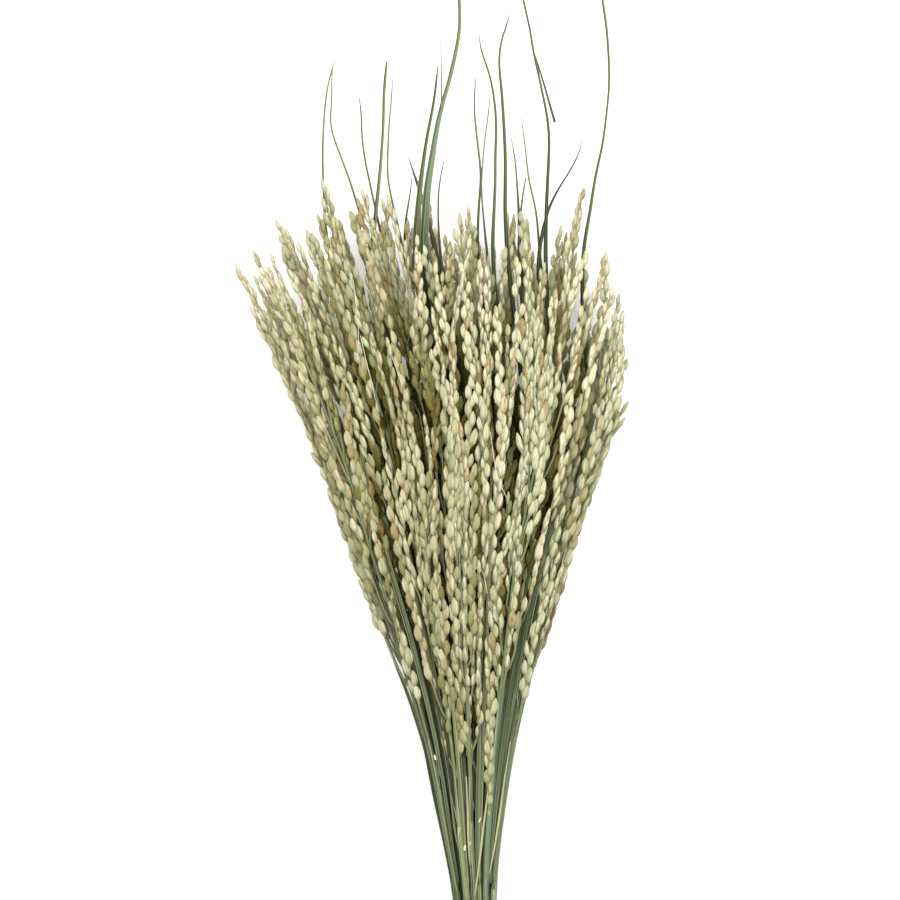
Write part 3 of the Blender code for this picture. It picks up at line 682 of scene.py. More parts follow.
def culm_finish():
    """Culms and sheaths: blue-green to olive, streaked lengthwise, with paler fibres.

    The tint is (blueness, lightness, brownness, painted shade deep in the bunch).
    """
    f = Finish("culm")
    lay = f.lay()
    across, _, _ = f.parts(lay)
    blue, light, brown, dark = f.tint()
    streak = f.noise(lay, (850.0, 850.0, 14.0), detail=5.0)
    broad = f.noise(lay, (260.0, 260.0, 16.0), detail=2.0)
    # A painted highlight: a pale line along each culm, set aside from its middle by the culm's
    # lightness.
    line = 1 - abs(across * 1000 - (light - 0.5) * 1.3).between(0.04, 0.26)
    body = f.coated(
        f.mix(light, (0.022, 0.030, 0.005), (0.42, 0.44, 0.22)),
        (blue, f.mix(light, (0.016, 0.030, 0.009), (0.30, 0.39, 0.24))),
        (streak.between(0.54, 0.72) * 0.6, (0.42, 0.45, 0.27)),
        ((1 - streak.between(0.32, 0.47)) * 0.8, (0.012, 0.02, 0.004)),
        (broad.between(0.55, 0.8) * 0.4, (0.28, 0.23, 0.09)),
        (line * 0.6, (0.50, 0.53, 0.33)),
        (brown, (0.34, 0.28, 0.13)),
        # Painted shade on culms that lie deep in the bunch.
        (dark, (0.015, 0.018, 0.005)),
    )
    return f.finished(body, 0.45 + broad * 0.3, streak, 0.0004, 0.6)


def blade_finish():
    """Leaf blades: green, with parallel veins, a pale midrib and a drier tip and edges.

    lay is (across in metres, -1 to 1 across, metres along); the tint is (dryness, lightness with
    painted shade in it, blueness, share of the way up).
    """
    f = Finish("blade")
    lay = f.lay()
    across, share, _ = f.parts(lay)
    dry, light, blue, up = f.tint()
    veins = (across * 12500).sine() * 0.5 + 0.5
    fibre = f.noise(lay, (1100.0, 0.0, 12.0), detail=5.0)
    patch = f.noise(lay, (250.0, 0.0, 22.0), detail=2.0)
    # Painted shade: one half of the blade, split near the midrib, is darker, as the half of a folded
    # leaf turned from the light.
    shaded_half = 1 - (share + (blue - 0.5) * 0.6).between(-0.10, 0.10)
    midrib = 1 - abs(share).between(0.02, 0.11)
    edge = abs(share).between(0.80, 1.0) * light.between(0.0, 0.35)
    drying = (up * 0.8 + patch * 0.7 + dry * 0.7 - 0.75).between(0.35, 0.95)
    body = f.coated(
        f.mix(light, (0.016, 0.022, 0.003), (0.42, 0.44, 0.20)),
        (blue, f.mix(light, (0.011, 0.022, 0.006), (0.31, 0.40, 0.245))),
        (veins * 0.12 + fibre.between(0.5, 0.8) * 0.35, (0.26, 0.29, 0.15)),
        ((1 - fibre.between(0.28, 0.45)) * 0.6, (0.012, 0.018, 0.004)),
        (shaded_half * 0.5, (0.014, 0.022, 0.005)),
        (midrib * 0.55, (0.34, 0.39, 0.24)),
        (edge * 0.65, (0.38, 0.40, 0.23)),
        (drying * 0.5, (0.24, 0.215, 0.10)),
        (dry.between(1.0, 2.0), (0.50, 0.48, 0.27)),
    )
    return f.finished(body, 0.48 + patch * 0.3, veins * 0.5 + fibre * 0.4 + midrib, 0.0003, 0.6)


def twine_finish():
    """Twine: brown bast fibre, each ply streaked along its length."""
    f = Finish("twine")
    lay = f.lay()
    fibre = f.noise(lay, (4200.0, 4200.0, 420.0), detail=4.0)
    patch = f.noise(lay, (300.0, 300.0, 120.0), detail=2.0)
    browns = ((0.25, (0.14, 0.085, 0.035)), (0.5, (0.40, 0.28, 0.14)), (0.75, (0.66, 0.52, 0.32)))
    sockets = {"Fac": fibre * 0.75 + patch * 0.3}
    body = f.node("ShaderNodeValToRGB", {"stops": browns}, sockets)["Color"]
    return f.finished(body, 0.8, fibre, 0.0004, 0.8)


def scrap_finish():
    """Torn membrane: papery cream."""
    f = Finish("scrap")
    fibre = f.noise(f.lay(), (1800.0, 500.0, 1.0))
    body = f.mix(fibre, (0.62, 0.55, 0.36), (0.86, 0.82, 0.66))
    return f.finished(body, 0.7, fibre, 0.0002, 0.5)


def floor_finish():
    """The studio floor: matt white, lit a little from within, with the faintest unevenness."""
    f = Finish("studio_floor")
    cloud = f.noise(f.node("ShaderNodeTexCoord")["Object"], (1.0, 1.0, 1.0), 3.0, detail=2.0)
    body = f.mix(cloud, (0.93, 0.93, 0.925), (0.955, 0.955, 0.95))
    f.shader.inputs["Emission Color"].default_value = (1.0, 1.0, 1.0, 1.0)
    f.shader.inputs["Emission Strength"].default_value = 0.27
    return f.finished(body, 0.75)


# Making pieces


def new_bmesh():
    """A bmesh, and what its points carry: their place on the unbent piece, and their tint."""
    bm = bmesh.new()
    lay = bm.verts.layers.float_vector.new("lay")
    tinted = bm.verts.layers.float_color.new("tint")
    return bm, lay, tinted


def smooth_faces(vertices, finish=0):
    for face in {face for vertex in vertices for face in vertex.link_faces}:
        face.smooth = True
        face.material_index = finish


def mesh_of(name, bm, finishes=()):
    """The mesh of a bmesh, which ends here."""
    mesh = bpy.data.meshes.new(name)
    bm.to_mesh(mesh)
    bm.free()
    for finish in finishes:
        mesh.materials.append(finish)
    return mesh


def placed(name, data):
    """A new object of the scene, at the origin."""
    made = bpy.data.objects.new(name, data)
    bpy.context.scene.collection.objects.link(made)
    return made


def piece(name, bm, finishes, node):
    """Turns a bmesh into a finished piece that stands for the node."""
    bmesh.ops.recalc_face_normals(bm, faces=bm.faces[:])
    made = placed(name, mesh_of(name, bm, finishes))
    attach(made, "root")
    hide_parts(node)
    return made


def thicken(made, thickness, offset=0.0):
    """Gives a sheet its thickness."""
    solidify = made.modifiers.new("thickness", "SOLIDIFY")
    solidify.thickness = thickness
    solidify.offset = offset


def tapered(length, count, first, last):
    """Even stations of a tube from one radius to another, closed at both ends."""
    stations = zip(evenly(0, length, count), evenly(first, last, count))
    return [(0, 0.0), *stations, (length, 0.0)]


def tube(bm, route, stations, sides, tint=(0, 0, 0, 0), pole=UP, finish=0):
    """A grid rolled up along a route, through stations of (distance, radius)."""
    made = bmesh.ops.create_grid(bm, x_segments=sides, y_segments=len(stations) - 1, size=1.0)
    lay, tinted = bm.verts.layers.float_vector["lay"], bm.verts.layers.float_color["tint"]
    shift = chance.uniform(0, 5)
    rings = []
    for distance, radius in stations:
        point, direction = route.at(distance)
        rings.append((distance, radius, point, *axes_of(direction, 0.0, pole)))
    for vertex in made["verts"]:
        angle = math.pi * (vertex.co.x + 1)
        row = round((vertex.co.y + 1) / 2 * (len(stations) - 1))
        distance, radius, point, side, up = rings[row]
        x, y = radius * math.cos(angle), radius * math.sin(angle)
        vertex.co = point + side * x + up * y
        vertex[lay] = (x, y, distance + shift)
        vertex[tinted] = tint(distance) if callable(tint) else tint
    smooth_faces(made["verts"], finish)
    bmesh.ops.remove_doubles(bm, verts=made["verts"], dist=1e-7)


def grain_pattern():
    """One grain in its husk, base at the origin and beak up, with its glumes and stalklet."""
    bm, lay, _ = new_bmesh()
    for vertex in bmesh.ops.create_uvsphere(bm, u_segments=8, v_segments=6, radius=1.0)["verts"]:
        x, y, z = vertex.co
        up = (z + 1) / 2
        ring = max(math.sqrt(max(1 - z * z, 0)), 1e-6)
        girth = 2.42 * up**0.55 * (1 - up) ** 0.75 if 0 < up < 1 else 0.0
        across, through = x / ring * girth, y / ring * girth
        keel = 1 - 0.18 * abs(across)
        vertex.co = (
            across * GRAIN_HALF_WIDTH + 0.25 * MM * math.sin(math.pi * up),
            through * GRAIN_HALF_THICKNESS * keel,
            (up**0.94) * GRAIN_LENGTH,
        )
        vertex[lay] = (across, through, up)
    stalklet = bmesh.ops.create_cone(
        bm, segments=4, radius1=0.22 * MM, radius2=0.75 * MM, depth=2.1 * MM, cap_ends=False
    )["verts"]
    bmesh.ops.translate(bm, verts=stalklet, vec=(0, 0, -0.45 * MM))
    for vertex in stalklet:
        vertex[lay] = (0.3, 0.3, 0.0)
    smooth_faces(bm.verts)
    return mesh_of("grain_pattern", bm)


def add_grain(bm, pattern, matrix, tint):
    """A copy of the pattern, placed by a matrix."""
    before = len(bm.verts)
    bm.from_mesh(pattern)
    bm.verts.ensure_lookup_table()
    added = bm.verts[before:]
    tinted = bm.verts.layers.float_color["tint"]
    for vertex in added:
        vertex[tinted] = tint
    bmesh.ops.transform(bm, matrix=matrix, verts=added)


# Heads of grain


class Strand:
    """A strand of grain: where it leaves its rachis, where it ends, and its room in the head."""

    def __init__(self, stalk, order):
        root, end = STRANDS[order]
        self.stalk = stalk
        self.order = order
        self.root = stalk.base + root * stalk.length
        if stalk.place.x < -0.5:
            lowest = LEFT_EDGE_HEADS_FROM if stalk.place.x < -0.8 else LEFT_HEADS_FROM
            self.root = max(self.root, (lowest + 2.4 * order) * MM)
        if order > 5 and stalk.place.y > 0.3:
            end += chance.uniform(0, 0.24)
        elif order:
            end += chance.uniform(-0.03, 0.03)
        self.tip = stalk.base + end * stalk.length
        reach = STRAND_SPREAD * math.sqrt(order / (len(STRANDS) - 1))
        self.offset = reach * round_about(order * GOLDEN_ANGLE + stalk.number)
        self.aim = None
        self.sway = [Wave(60, 130) for _ in range(2)]
        self.green = min(max(chance.gauss(0.1 + 0.6 * stalk.green, 0.14), 0), 1)
        self.light = min(max(chance.gauss(stalk.ripeness, 0.13), 0), 1)

    @property
    def end(self):
        return self.tip - GRAIN_LENGTH * 0.8

    def reach_for(self, across, along, in_front):
        """Makes its tip end at this place of the crown's outline, or of the bunch's upper side."""
        self.tip = along
        self.aim = disc_of(across, along, self.stalk.place.y, strand_edges)
        room = math.sqrt(max(1.02 - self.aim.x**2, 0.0))
        self.aim.y = room if in_front else min(max(self.aim.y, -room), room)

    def wish(self, along):
        """Where it would run if it had the bunch to itself."""
        leaving = smooth((along - self.root) / STRAND_LEAVING)
        share = (along - self.root) / max(self.end - self.root, MM)
        there = self.stalk.place + self.offset * leaving * (1 + 0.5 * share)
        if self.aim:
            there = there.lerp(self.aim, 0.6 * share + 0.4 * smooth(share))
        sideways, upwards = (0.9 * MM * wave.at(along, math.tau) for wave in self.sway)
        return flow(there, along, strand_edges) + Vector((sideways, 0, upwards)) * leaving


def plan_strands(stalks):
    """Each stalk's strands, with enough of them reaching for the crown's outline."""
    strands = [[Strand(stalk, order) for order in range(len(STRANDS))] for stalk in stalks]
    aimed = {stalk.number: 0 for stalk in stalks}
    free = [strand for group in strands for strand in group]
    lower_tips = []
    for k, (across, along) in enumerate(CROWN_TIPS):
        lower_tips.append((across + (2.4 if k % 2 else -2.4), along - 3 - 3 * (k % 3)))
    for in_front, tips in ((False, CROWN_TIPS), (False, lower_tips), (True, FRONT_TIPS)):
        for across, along in tips:
            across, along = across * MM, along * MM

            def cost(strand):
                place = strand.stalk.place
                aside = abs(flow(place, along, strand_edges).x - NECK.x - across)
                reach = abs(strand.tip - along)
                depth = max(0.55 - place.y, 0) if in_front else 0
                others = aimed[strand.stalk.number] if tips is not lower_tips else 0
                too_short = strand.root > along - SHORTEST_STRAND
                return (too_short, aside + 0.4 * reach + 7 * MM * others + 60 * MM * depth)

            orders = range(1, 10) if in_front else range(6)
            nearest = min((s for s in free if s.order in orders), key=cost)
            nearest.reach_for(across, along, in_front)
            aimed[nearest.stalk.number] += 1
            free.remove(nearest)
    for (start_x, start), (end_x, end) in LOW_STRANDS:
        start, end = start * MM, end * MM

        def distance_from(strand):
            place = strand.stalk.place
            aside = abs(flow(place, start).x - NECK.x - start_x * MM)
            return aside + 30 * MM * max(0.3 - place.y, 0) + 20 * MM * max(0.85 - place.length, 0)

        lowest = min((s for s in free if s.order > 6), key=distance_from)
        lowest.root = start
        lowest.offset = Vector((0.0, 0.25))
        lowest.reach_for(end_x * MM, end, True)
        free.remove(lowest)
    xs, tops = zip(*CROWN_TIPS)
    for strand in free:
        end = flow(strand.stalk.place + strand.offset, strand.tip, strand_edges)
        crown = float(np.interp((end.x - NECK.x) / MM, xs, tops)) * MM
        strand.tip = min(strand.tip, crown - chance.uniform(0, 12) * MM)
        strand.tip = max(strand.tip, strand.root + SHORTEST_STRAND)
    return strands


def kept_inside(points):
    """The same points, bent in where the last grain would reach past the box at a side."""
    ahead = points[-1] + (points[-1] - points[-2]).normalized() * GRAIN_LENGTH
    low, high = SOLIDS_BOX[0][0] - SIDE_ALLOWANCE, SOLIDS_BOX[1][0] + SIDE_ALLOWANCE
    over = max(ahead.x - high, 0) + min(ahead.x - low, 0)
    for k, point in enumerate(points):
        point.x -= over * (k / (len(points) - 1)) ** 2
    return points


def pushed_apart(at, stalk_of, along):
    """The strands' places in one level of the bunch, each moved a step towards its room."""
    middle, level, half_width, half_height = section(along, strand_edges)
    together = stalk_of[:, None] == stalk_of[None]
    room = np.minimum(np.where(together, STRAND_ROOM, HEAD_ROOM), half_width * 0.24)
    away = at[:, None] - at[None]
    apart = np.linalg.norm(away, axis=2) + np.eye(len(at))
    short = np.clip(room - apart, 0, None)
    at = at + (away / apart[..., None] * short[..., None]).sum(1) * SETTLING_PUSH
    middle = np.array([middle + NECK.x, level])
    half = np.array([half_width + 3 * MM, half_height])
    out = (at - middle) / half
    far = np.maximum(np.linalg.norm(out, axis=1), 1)[:, None]
    upper = out[:, 1] > 0
    at[upper] = (middle + out / far * half)[upper]
    at[:, 0] = np.clip(at[:, 0], middle[0] - half[0], middle[0] + half[0])
    at[:, 1] = np.maximum(at[:, 1], LOWEST_STRAND)
    return at


def settle(strands):
    """Pushes the strands apart, level by level, until each has its room, and routes them."""
    first = min(strand.root for strand in strands)
    count = int((max(strand.end for strand in strands) - first) / LEVEL_STEP) + 2
    levels = [first + j * LEVEL_STEP for j in range(count)]
    wished = np.full((len(strands), count, 2), np.nan)
    hold = np.full((len(strands), count, 1), 0.05)
    for i, strand in enumerate(strands):
        for j, along in enumerate(levels):
            if strand.root <= along <= strand.end:
                point = strand.wish(along)
                wished[i, j] = (point.x, point.z)
            if strand.aim:
                near = (along - strand.root) / (strand.end - strand.root)
                hold[i, j] = 0.10 + 0.40 * min(max(near, 0), 1)
    stalk_of = np.array([strand.stalk.number for strand in strands])
    spots = wished.copy()
    for _ in range(SETTLING_ROUNDS):
        for j, along in enumerate(levels):
            here = np.flatnonzero(~np.isnan(spots[:, j, 0]))
            if len(here) > 1:
                spots[here, j] = pushed_apart(spots[here, j], stalk_of[here], along)
        spots += (wished - spots) * hold
        inner = (spots[:, :-2] + spots[:, 2:]) / 4 + spots[:, 1:-1] / 2
        known = ~np.isnan(inner)
        spots[:, 1:-1][known] = inner[known]
    for i, strand in enumerate(strands):
        points = [flow(strand.stalk.place, strand.root)]
        for j in np.flatnonzero(~np.isnan(spots[i, :, 0])):
            if levels[j] > strand.root + 0.5 * LEVEL_STEP:
                points.append(Vector((spots[i, j, 0], NECK.y + levels[j], spots[i, j, 1])))
        last = points[-1].y - NECK.y
        pushed = points[-1] - strand.wish(last)
        if strand.end - last > MM:
            points.append(strand.wish(strand.end) + pushed * (0.4 if strand.aim else 1.0))
        strand.route = Route(kept_inside(points))


def height_map(strands):
    """The height over each cell of the floor below which the strands shut off the light."""
    tops = {}
    for strand in strands:
        for k in range(int(strand.route.length / COVER_STEP) + 1):
            point = strand.route.at(k * COVER_STEP)[0]
            x, y = cell_of(point)
            for shift in (-2, -1, 0, 1, 2):
                cell = (x + shift, y)
                tops[cell] = max(tops.get(cell, 0.0), point.z - abs(shift) * COVER_FALL)
    return tops


def exposure(route):
    """How far a strand is out in the light, at the bunch's underside, and at its side."""
    across, up = off_middle(route.at(route.length * 0.6)[0], strand_edges)
    sunned = smooth((math.hypot(across, up) - 0.3) / 0.55)
    return sunned, sunned * smooth(-up / 0.5), smooth((abs(across) - 0.72) / 0.22)


def grain_tint(strand, point, height, exposed, tops):
    """(greenness, lightness with painted shade in it, rust, its own number) of a grain at a share of
    the heads' height.
    """
    sunned, underside, edge = exposed
    green = strand.green + 0.2 - 0.4 * height + chance.gauss(0, 0.12)
    green = min(max(green + 0.2 * (1 - sunned), 0), 1)
    # Painted shade: a grain lying under higher strands nearby gets a darker lightness, less so out
    # in the open, at the bunch's side or underside, and in the crown.
    cover = smooth((tops.get(cell_of(point), 0.0) - point.z - 1.1 * MM) / (4.4 * MM))
    shade = cover * (1 - 0.2 * sunned) * (1 - 0.75 * edge) * (1 - 0.35 * underside)
    shade *= 1 - 0.8 * smooth((height - 0.6) / 0.3)
    light = strand.light + chance.gauss(0, 0.16) + 0.28 * smooth((height - 0.6) / 0.25)
    light = light * (1 - 0.7 * shade) - 0.6 * shade
    rusty = chance.random() < 0.06 + 0.16 * max(height, 0) ** 2
    rust = chance.uniform(0.4, 1.0) if rusty else 0.0
    return green, min(light, 1), rust, chance.random()


def grains_of(strand, bm, pattern, tops):
    """Grains in two ranks up a strand, and one at its end."""
    route = strand.route
    distance = 8 * MM + chance.uniform(0, 4) * MM
    lean = chance.uniform(0, math.pi)
    rank = 0
    loose = chance.uniform(0.88, 1.15)
    roll_about = chance.gauss(0, 38)
    exposed = exposure(route)
    while True:
        last = distance > route.length - GRAIN_STEP * 0.6
        point, direction = route.at(min(distance, route.length))
        lean += chance.gauss(0, 0.16)
        out, flat = axes_of(direction, lean + math.pi * rank)
        tilt = 0.0 if last else math.radians(max(chance.gauss(4.2, 3.2), 0))
        if chance.random() < ODD_GRAINS:
            tilt += math.radians(14)
        up = direction * math.cos(tilt) + out * math.sin(tilt)
        roll = math.radians(chance.gauss(roll_about, 24))
        wide = (out * math.cos(tilt) - direction * math.sin(tilt)) * math.cos(roll)
        wide = (wide + flat * math.sin(roll)).normalized()
        height = (point.y - NECK.y - HEADS_FROM) / HEADS_LENGTH
        shrunk = 1 - 0.14 * smooth((height - 0.45) / 0.4)
        near_tip = smooth((min(distance / route.length, 1) - 0.7) / 0.3)
        size = chance.uniform(0.82, 1.12) * shrunk * (1 - 0.14 * near_tip)
        size *= 0.82 + 0.18 * smooth(distance / (34 * MM))
        axes = Matrix((wide, up.cross(wide).normalized(), up)).transposed()
        matrix = axes.to_4x4() @ Matrix.Scale(size, 4)
        matrix.translation = point if last else point + out * 0.5 * MM
        tint = grain_tint(strand, point, height, exposed, tops)
        if direction.y > 0.92 or distance > STRAND_LEAVING * 1.3:
            add_grain(bm, pattern, matrix, tint)
        if last:
            return
        sparse = 1.35 - 0.35 * smooth(distance / (30 * MM)) + 0.1 * near_tip
        distance += GRAIN_STEP * loose * sparse * shrunk * chance.uniform(0.75, 1.28)
        rank = 1 - rank if chance.random() < 1 - SAME_RANK else rank
        if chance.random() < ODD_GRAINS:
            distance += GRAIN_STEP


def head_of(stalk, strands, pattern, tops, finishes):
    """A head of grain: its rachis, its branchlets and every grain."""
    bm, _, _ = new_bmesh()
    for strand in strands:
        grains_of(strand, bm, pattern, tops)
    rachis_top = max(strand.root for strand in strands)
    points = []
    along = stalk.base - 3 * MM
    while along < rachis_top:
        points.append(flow(stalk.place, along))
        along += 6 * MM
    points.append(flow(stalk.place, rachis_top))
    rachis = Route(points)
    stations = []
    for distance, radius in tapered(rachis.length, len(points), 0.85 * MM, 0.5 * MM):
        emerging = 0.45 + 0.55 * smooth(distance / (14 * MM))
        stations.append((distance, radius * emerging))
    tube(bm, rachis, stations, 6, (0.55 + 0.4 * stalk.green, 0.5, 0, 0), finish=1)
    for strand in strands:
        length = strand.route.length
        stations = tapered(length, max(int(length / (5 * MM)), 3), 0.5 * MM, 0.3 * MM)
        tint = (0.3 + 0.5 * stalk.green, chance.uniform(0.3, 0.9), 0, 0)
        tube(bm, strand.route, stations, 4, tint, finish=1)
    return piece(f"rice_head_{stalk.number:02d}", bm, finishes, stalk.head_node)


def threads(stalks, tops, finishes):
    """Loose pale threads, each lying level over the strands below it."""
    for number, (line, width) in enumerate(THREADS, 1):
        bm, _, _ = new_bmesh()
        points = [spot(x * MM, along * MM) for x, along in line]
        level = max(tops.get(cell_of(point), 60 * MM) for point in points) + 1.5 * MM
        for point in points:
            point.z = level
        route = Route(rounded(points))
        radius = width / 2 * MM
        tube(bm, route, tapered(route.length, 12, radius, radius), 5, (0.0, 1.0, 0.0, 0.0))
        middle = points[len(points) // 2]
        along = middle.y - NECK.y
        nearest = min(stalks, key=lambda s: (flow(s.place, along) - middle).length)
        piece(f"thread_{number}", bm, finishes, nearest.head_node)


# Stems and leaves


def stem_of(stalk, finishes):
    """A culm, cut hollow at its foot, with its joints. Its top slims into the rachis."""
    bm, _, _ = new_bmesh()
    reach = stalk.base + 14 * MM - stalk.foot
    alongs = evenly(stalk.foot, stalk.foot + reach, int(reach / CULM_STEP))
    route = Route([flow(stalk.place, along) for along in alongs])
    joints = [chance.uniform(25, 60) * MM, chance.uniform(90, 112) * MM]
    joints = [joint - stalk.foot for joint in (*joints, stalk.sheath_foot - 0.5 * MM)]
    marks = []
    for joint in joints:
        marks += [(joint + d * MM, r) for d, r in ((-2.2, 0), (-1, 0.2), (0, 0.26), (1, 0.08))]
    distance = 3 * MM
    while distance < route.length - 1 * MM:
        if all(abs(distance - mark[0]) > 2 * MM for mark in marks):
            marks.append((distance, 0.0))
        distance += 5 * MM
    # The bore, from its floor out to the cut rim.
    stations = [(9 * MM, 0.0), (8 * MM, 0.62 * MM), (0.25 * MM, 0.66 * MM), (0, 0.7 * MM)]
    stations += [(0, 1.02 * MM), (0.3 * MM, 1.08 * MM)]
    for distance, swelling in sorted(marks):
        share = distance / route.length
        slimming = 0.4 * smooth((distance - route.length + 20 * MM) / (20 * MM))
        stations.append((distance, (1.08 - 0.22 * share + swelling - slimming) * MM))
    stations.append((route.length, 0.0))
    blue = 0.35 + 0.6 * stalk.green
    light = 0.9 * stalk.light
    straw = 0.75 if chance.random() < 0.14 else 0.0

    def tint(distance):
        near = min(abs(distance - joint) for joint in joints)
        brown = 0.7 * (1 - smooth(near / (2.5 * MM))) + 0.5 * (1 - smooth(distance / (5 * MM)))
        fading = smooth((distance - route.length + 45 * MM) / (40 * MM))
        brown = min(max(brown, straw * (1 - 0.7 * fading)), 1)
        # Painted shade: culms deep inside the bunch are darkened.
        shade = INNER_SHADE * hidden(route.at(distance)[0])
        return blue, light + (0.42 - light) * fading, brown, shade

    tube(bm, route, stations, 10, tint)
    return piece(f"culm_{stalk.number:02d}", bm, finishes, stalk.stem_node)


def plan_leaves(stalks):
    """Gives the stalk whose solid leaf ends there each of the tall leaves."""
    free = list(stalks)
    for row in TALL_LEAVES:

        def aside(stalk):
            return abs(flow(stalk.place, LEAF_FOOT_ALONG).x - NECK.x - row[0] * MM)

        nearest = min(free, key=aside)
        free.remove(nearest)
        nearest.leaf = row


def leaf_place(stalk, taken):
    """A free place on the disc beside the stalk, between its neighbours."""
    places = [stalk.place + 0.2 * round_about(math.tau * k / 16) for k in range(16)]
    inside = [place for place in places if place.length <= 1.0]
    return max(inside, key=lambda place: min((place - other).length for other in taken))


def tall_leaf_points(stalk, place):
    """Midline of a tall leaf above its collar."""
    foot_x, line, _ = stalk.leaf
    level = BACK_LEAF_LEVEL + BACK_LEAF_SPREAD * place.y
    foot_level = level
    if any(TALL_LEAVES[number] is stalk.leaf for number in FRONT_LEAVES):
        foot_level = max(place.y, FRONT_LEAF_LEAST) * FRONT_LEAF_RISE
    points = []
    steps = int((LEAF_STRAIGHT_FROM - stalk.collar) / LEAF_STEP)
    goal = disc_of(foot_x * MM, LEAF_FOOT_ALONG, place.y)
    for along in evenly(stalk.collar, LEAF_STRAIGHT_FROM, steps)[1:]:
        above = along - stalk.collar
        there = stalk.place.lerp(place, smooth(above / (12 * MM)))
        there = there.lerp(goal, smooth((above - LEAF_CROSSING_START) / LEAF_CROSSING_LENGTH))
        there.y += (level - there.y) * smooth(above / LEAF_SINKING_LENGTH)
        points.append(flow(there, along))
    goal.y = foot_level
    foot_z = flow(goal, LEAF_FOOT_ALONG).z
    traced = [spot(x * MM, along * MM, foot_z) for x, along in line]
    start, end = points[-1], traced[0]
    leaving = (start - points[-2]).normalized() * (end - start).length
    arriving = (traced[1] - end).normalized() * (end - start).length
    for k in range(1, 20):
        points.append(cubic(k / 20, start, leaving, end, arriving))
    return points + rounded(traced)


def blade(bm, route, stations, tint, sheath_end=0.0, sheath_light=0.0, facing=0.0, twist=0.4):
    """A leaf: rolled round its culm as far as the sheath's end, then opened into a blade.

    Its stations are (along, width).
    """
    rows = max(int(route.length / (3.2 * MM)), 8)
    made = bmesh.ops.create_grid(bm, x_segments=6, y_segments=rows, size=1.0)
    lay, tinted = bm.verts.layers.float_vector["lay"], bm.verts.layers.float_color["tint"]
    shift = chance.uniform(0, 5)
    twisting, folding, rippling, paling = (Wave(25, 60) for _ in range(4))
    stretch = []
    for distance in evenly(0, route.length, rows):
        point, direction = route.at(distance)
        opening = smooth((distance - sheath_end + 6 * MM) / (14 * MM)) if sheath_end else 1.0
        turn = facing * (1 - opening) + twist * twisting.at(distance) * opening
        wide, high = axes_of(direction, turn)
        half = max(float(np.interp(point.y - NECK.y, *zip(*stations))) / 2, 0.1 * MM)
        fold = 0.20 + 0.10 * folding.at(distance)
        dry, light, blue = tint
        if sheath_end:
            light += (sheath_light - light) * (1 - smooth((distance - sheath_end) / (45 * MM)))
        # Painted shade: the leaf is darker where it lies deep inside the bunch.
        light = max(light + 0.14 * paling.at(distance), 0) * (1 - INNER_SHADE * hidden(point))
        up = max(distance - sheath_end, 0) / (route.length - sheath_end)
        shown = (dry, light, blue, up)
        stretch.append((distance, point, wide, high, shown, opening, half, fold))
    for vertex in made["verts"]:
        share = vertex.co.x
        row = round((vertex.co.y + 1) / 2 * rows)
        distance, point, wide, high, (dry, light, blue, up), opening, half, fold = stretch[row]
        angle = share * ROLLED_HALF_TURN
        rolled = (math.sin(angle) * SHEATH_RADIUS, -math.cos(angle) * SHEATH_RADIUS)
        ripple = rippling.at(distance, 4, share * 2) * 0.05 * half
        flat = (share * half, abs(share) * half * fold * 2 - half * fold + ripple)
        x, y = (a * (1 - opening) + b * opening for a, b in zip(rolled, flat))
        vertex.co = point + wide * x + high * y
        vertex[lay] = (share * max(half, 1.2 * MM), share, distance + shift)
        # Painted shade: the rolled sheath is lighter on top and darker at its sides and underside,
        # as light falls from above.
        outward = (wide * rolled[0] + high * rolled[1]).normalized()
        facing_light = smooth((outward.z + 0.35) / 1.3) * (1 - opening) + opening
        vertex[tinted] = (dry, light * (0.3 + 0.7 * facing_light), blue, up)
    smooth_faces(made["verts"])


def leaf_tint(stalk, driest, lightest=1.0, darkest=0.0):
    """(dryness, lightness, blueness) of one leaf."""
    blue = min(max(0.3 + 0.5 * stalk.green + chance.gauss(0, 0.15), 0), 1)
    return (chance.uniform(0, driest), chance.uniform(darkest, lightest), blue)


def narrowing(collar, last, width):
    """Widths of a blade that narrows to a point."""
    return [
        (collar, width * 0.6),
        (collar + (last - collar) * 0.3, width),
        (collar + (last - collar) * 0.7, width * 0.8),
        (last - 8 * MM, width * 0.3),
        (last, 0.2 * MM),
    ]


def sheathed(stalk, collar, sheath, points):
    """The line of a leaf with its sheath, and where the sheath ends on it."""
    steps = max(int(sheath / (6 * MM)), 2)
    stem = [flow(stalk.place, along) for along in evenly(collar - sheath, collar, steps)]
    route = Route(stem + points)
    return route, route.walked[steps]


def inner_leaf(bm, stalk, collar, place, last, sheath, width, tint, facing):
    """A leaf that moves over to its own place on the disc, and ends among the heads."""
    points = []
    for along in evenly(collar, last, int((last - collar) / LEAF_STEP))[1:]:
        moved = smooth((along - collar) / (14 * MM))
        points.append(flow(stalk.place.lerp(place, moved), along))
    route, end = sheathed(stalk, collar, sheath, points)
    blade(bm, route, narrowing(collar, last, width), tint, end, stalk.light, facing, 0.8)


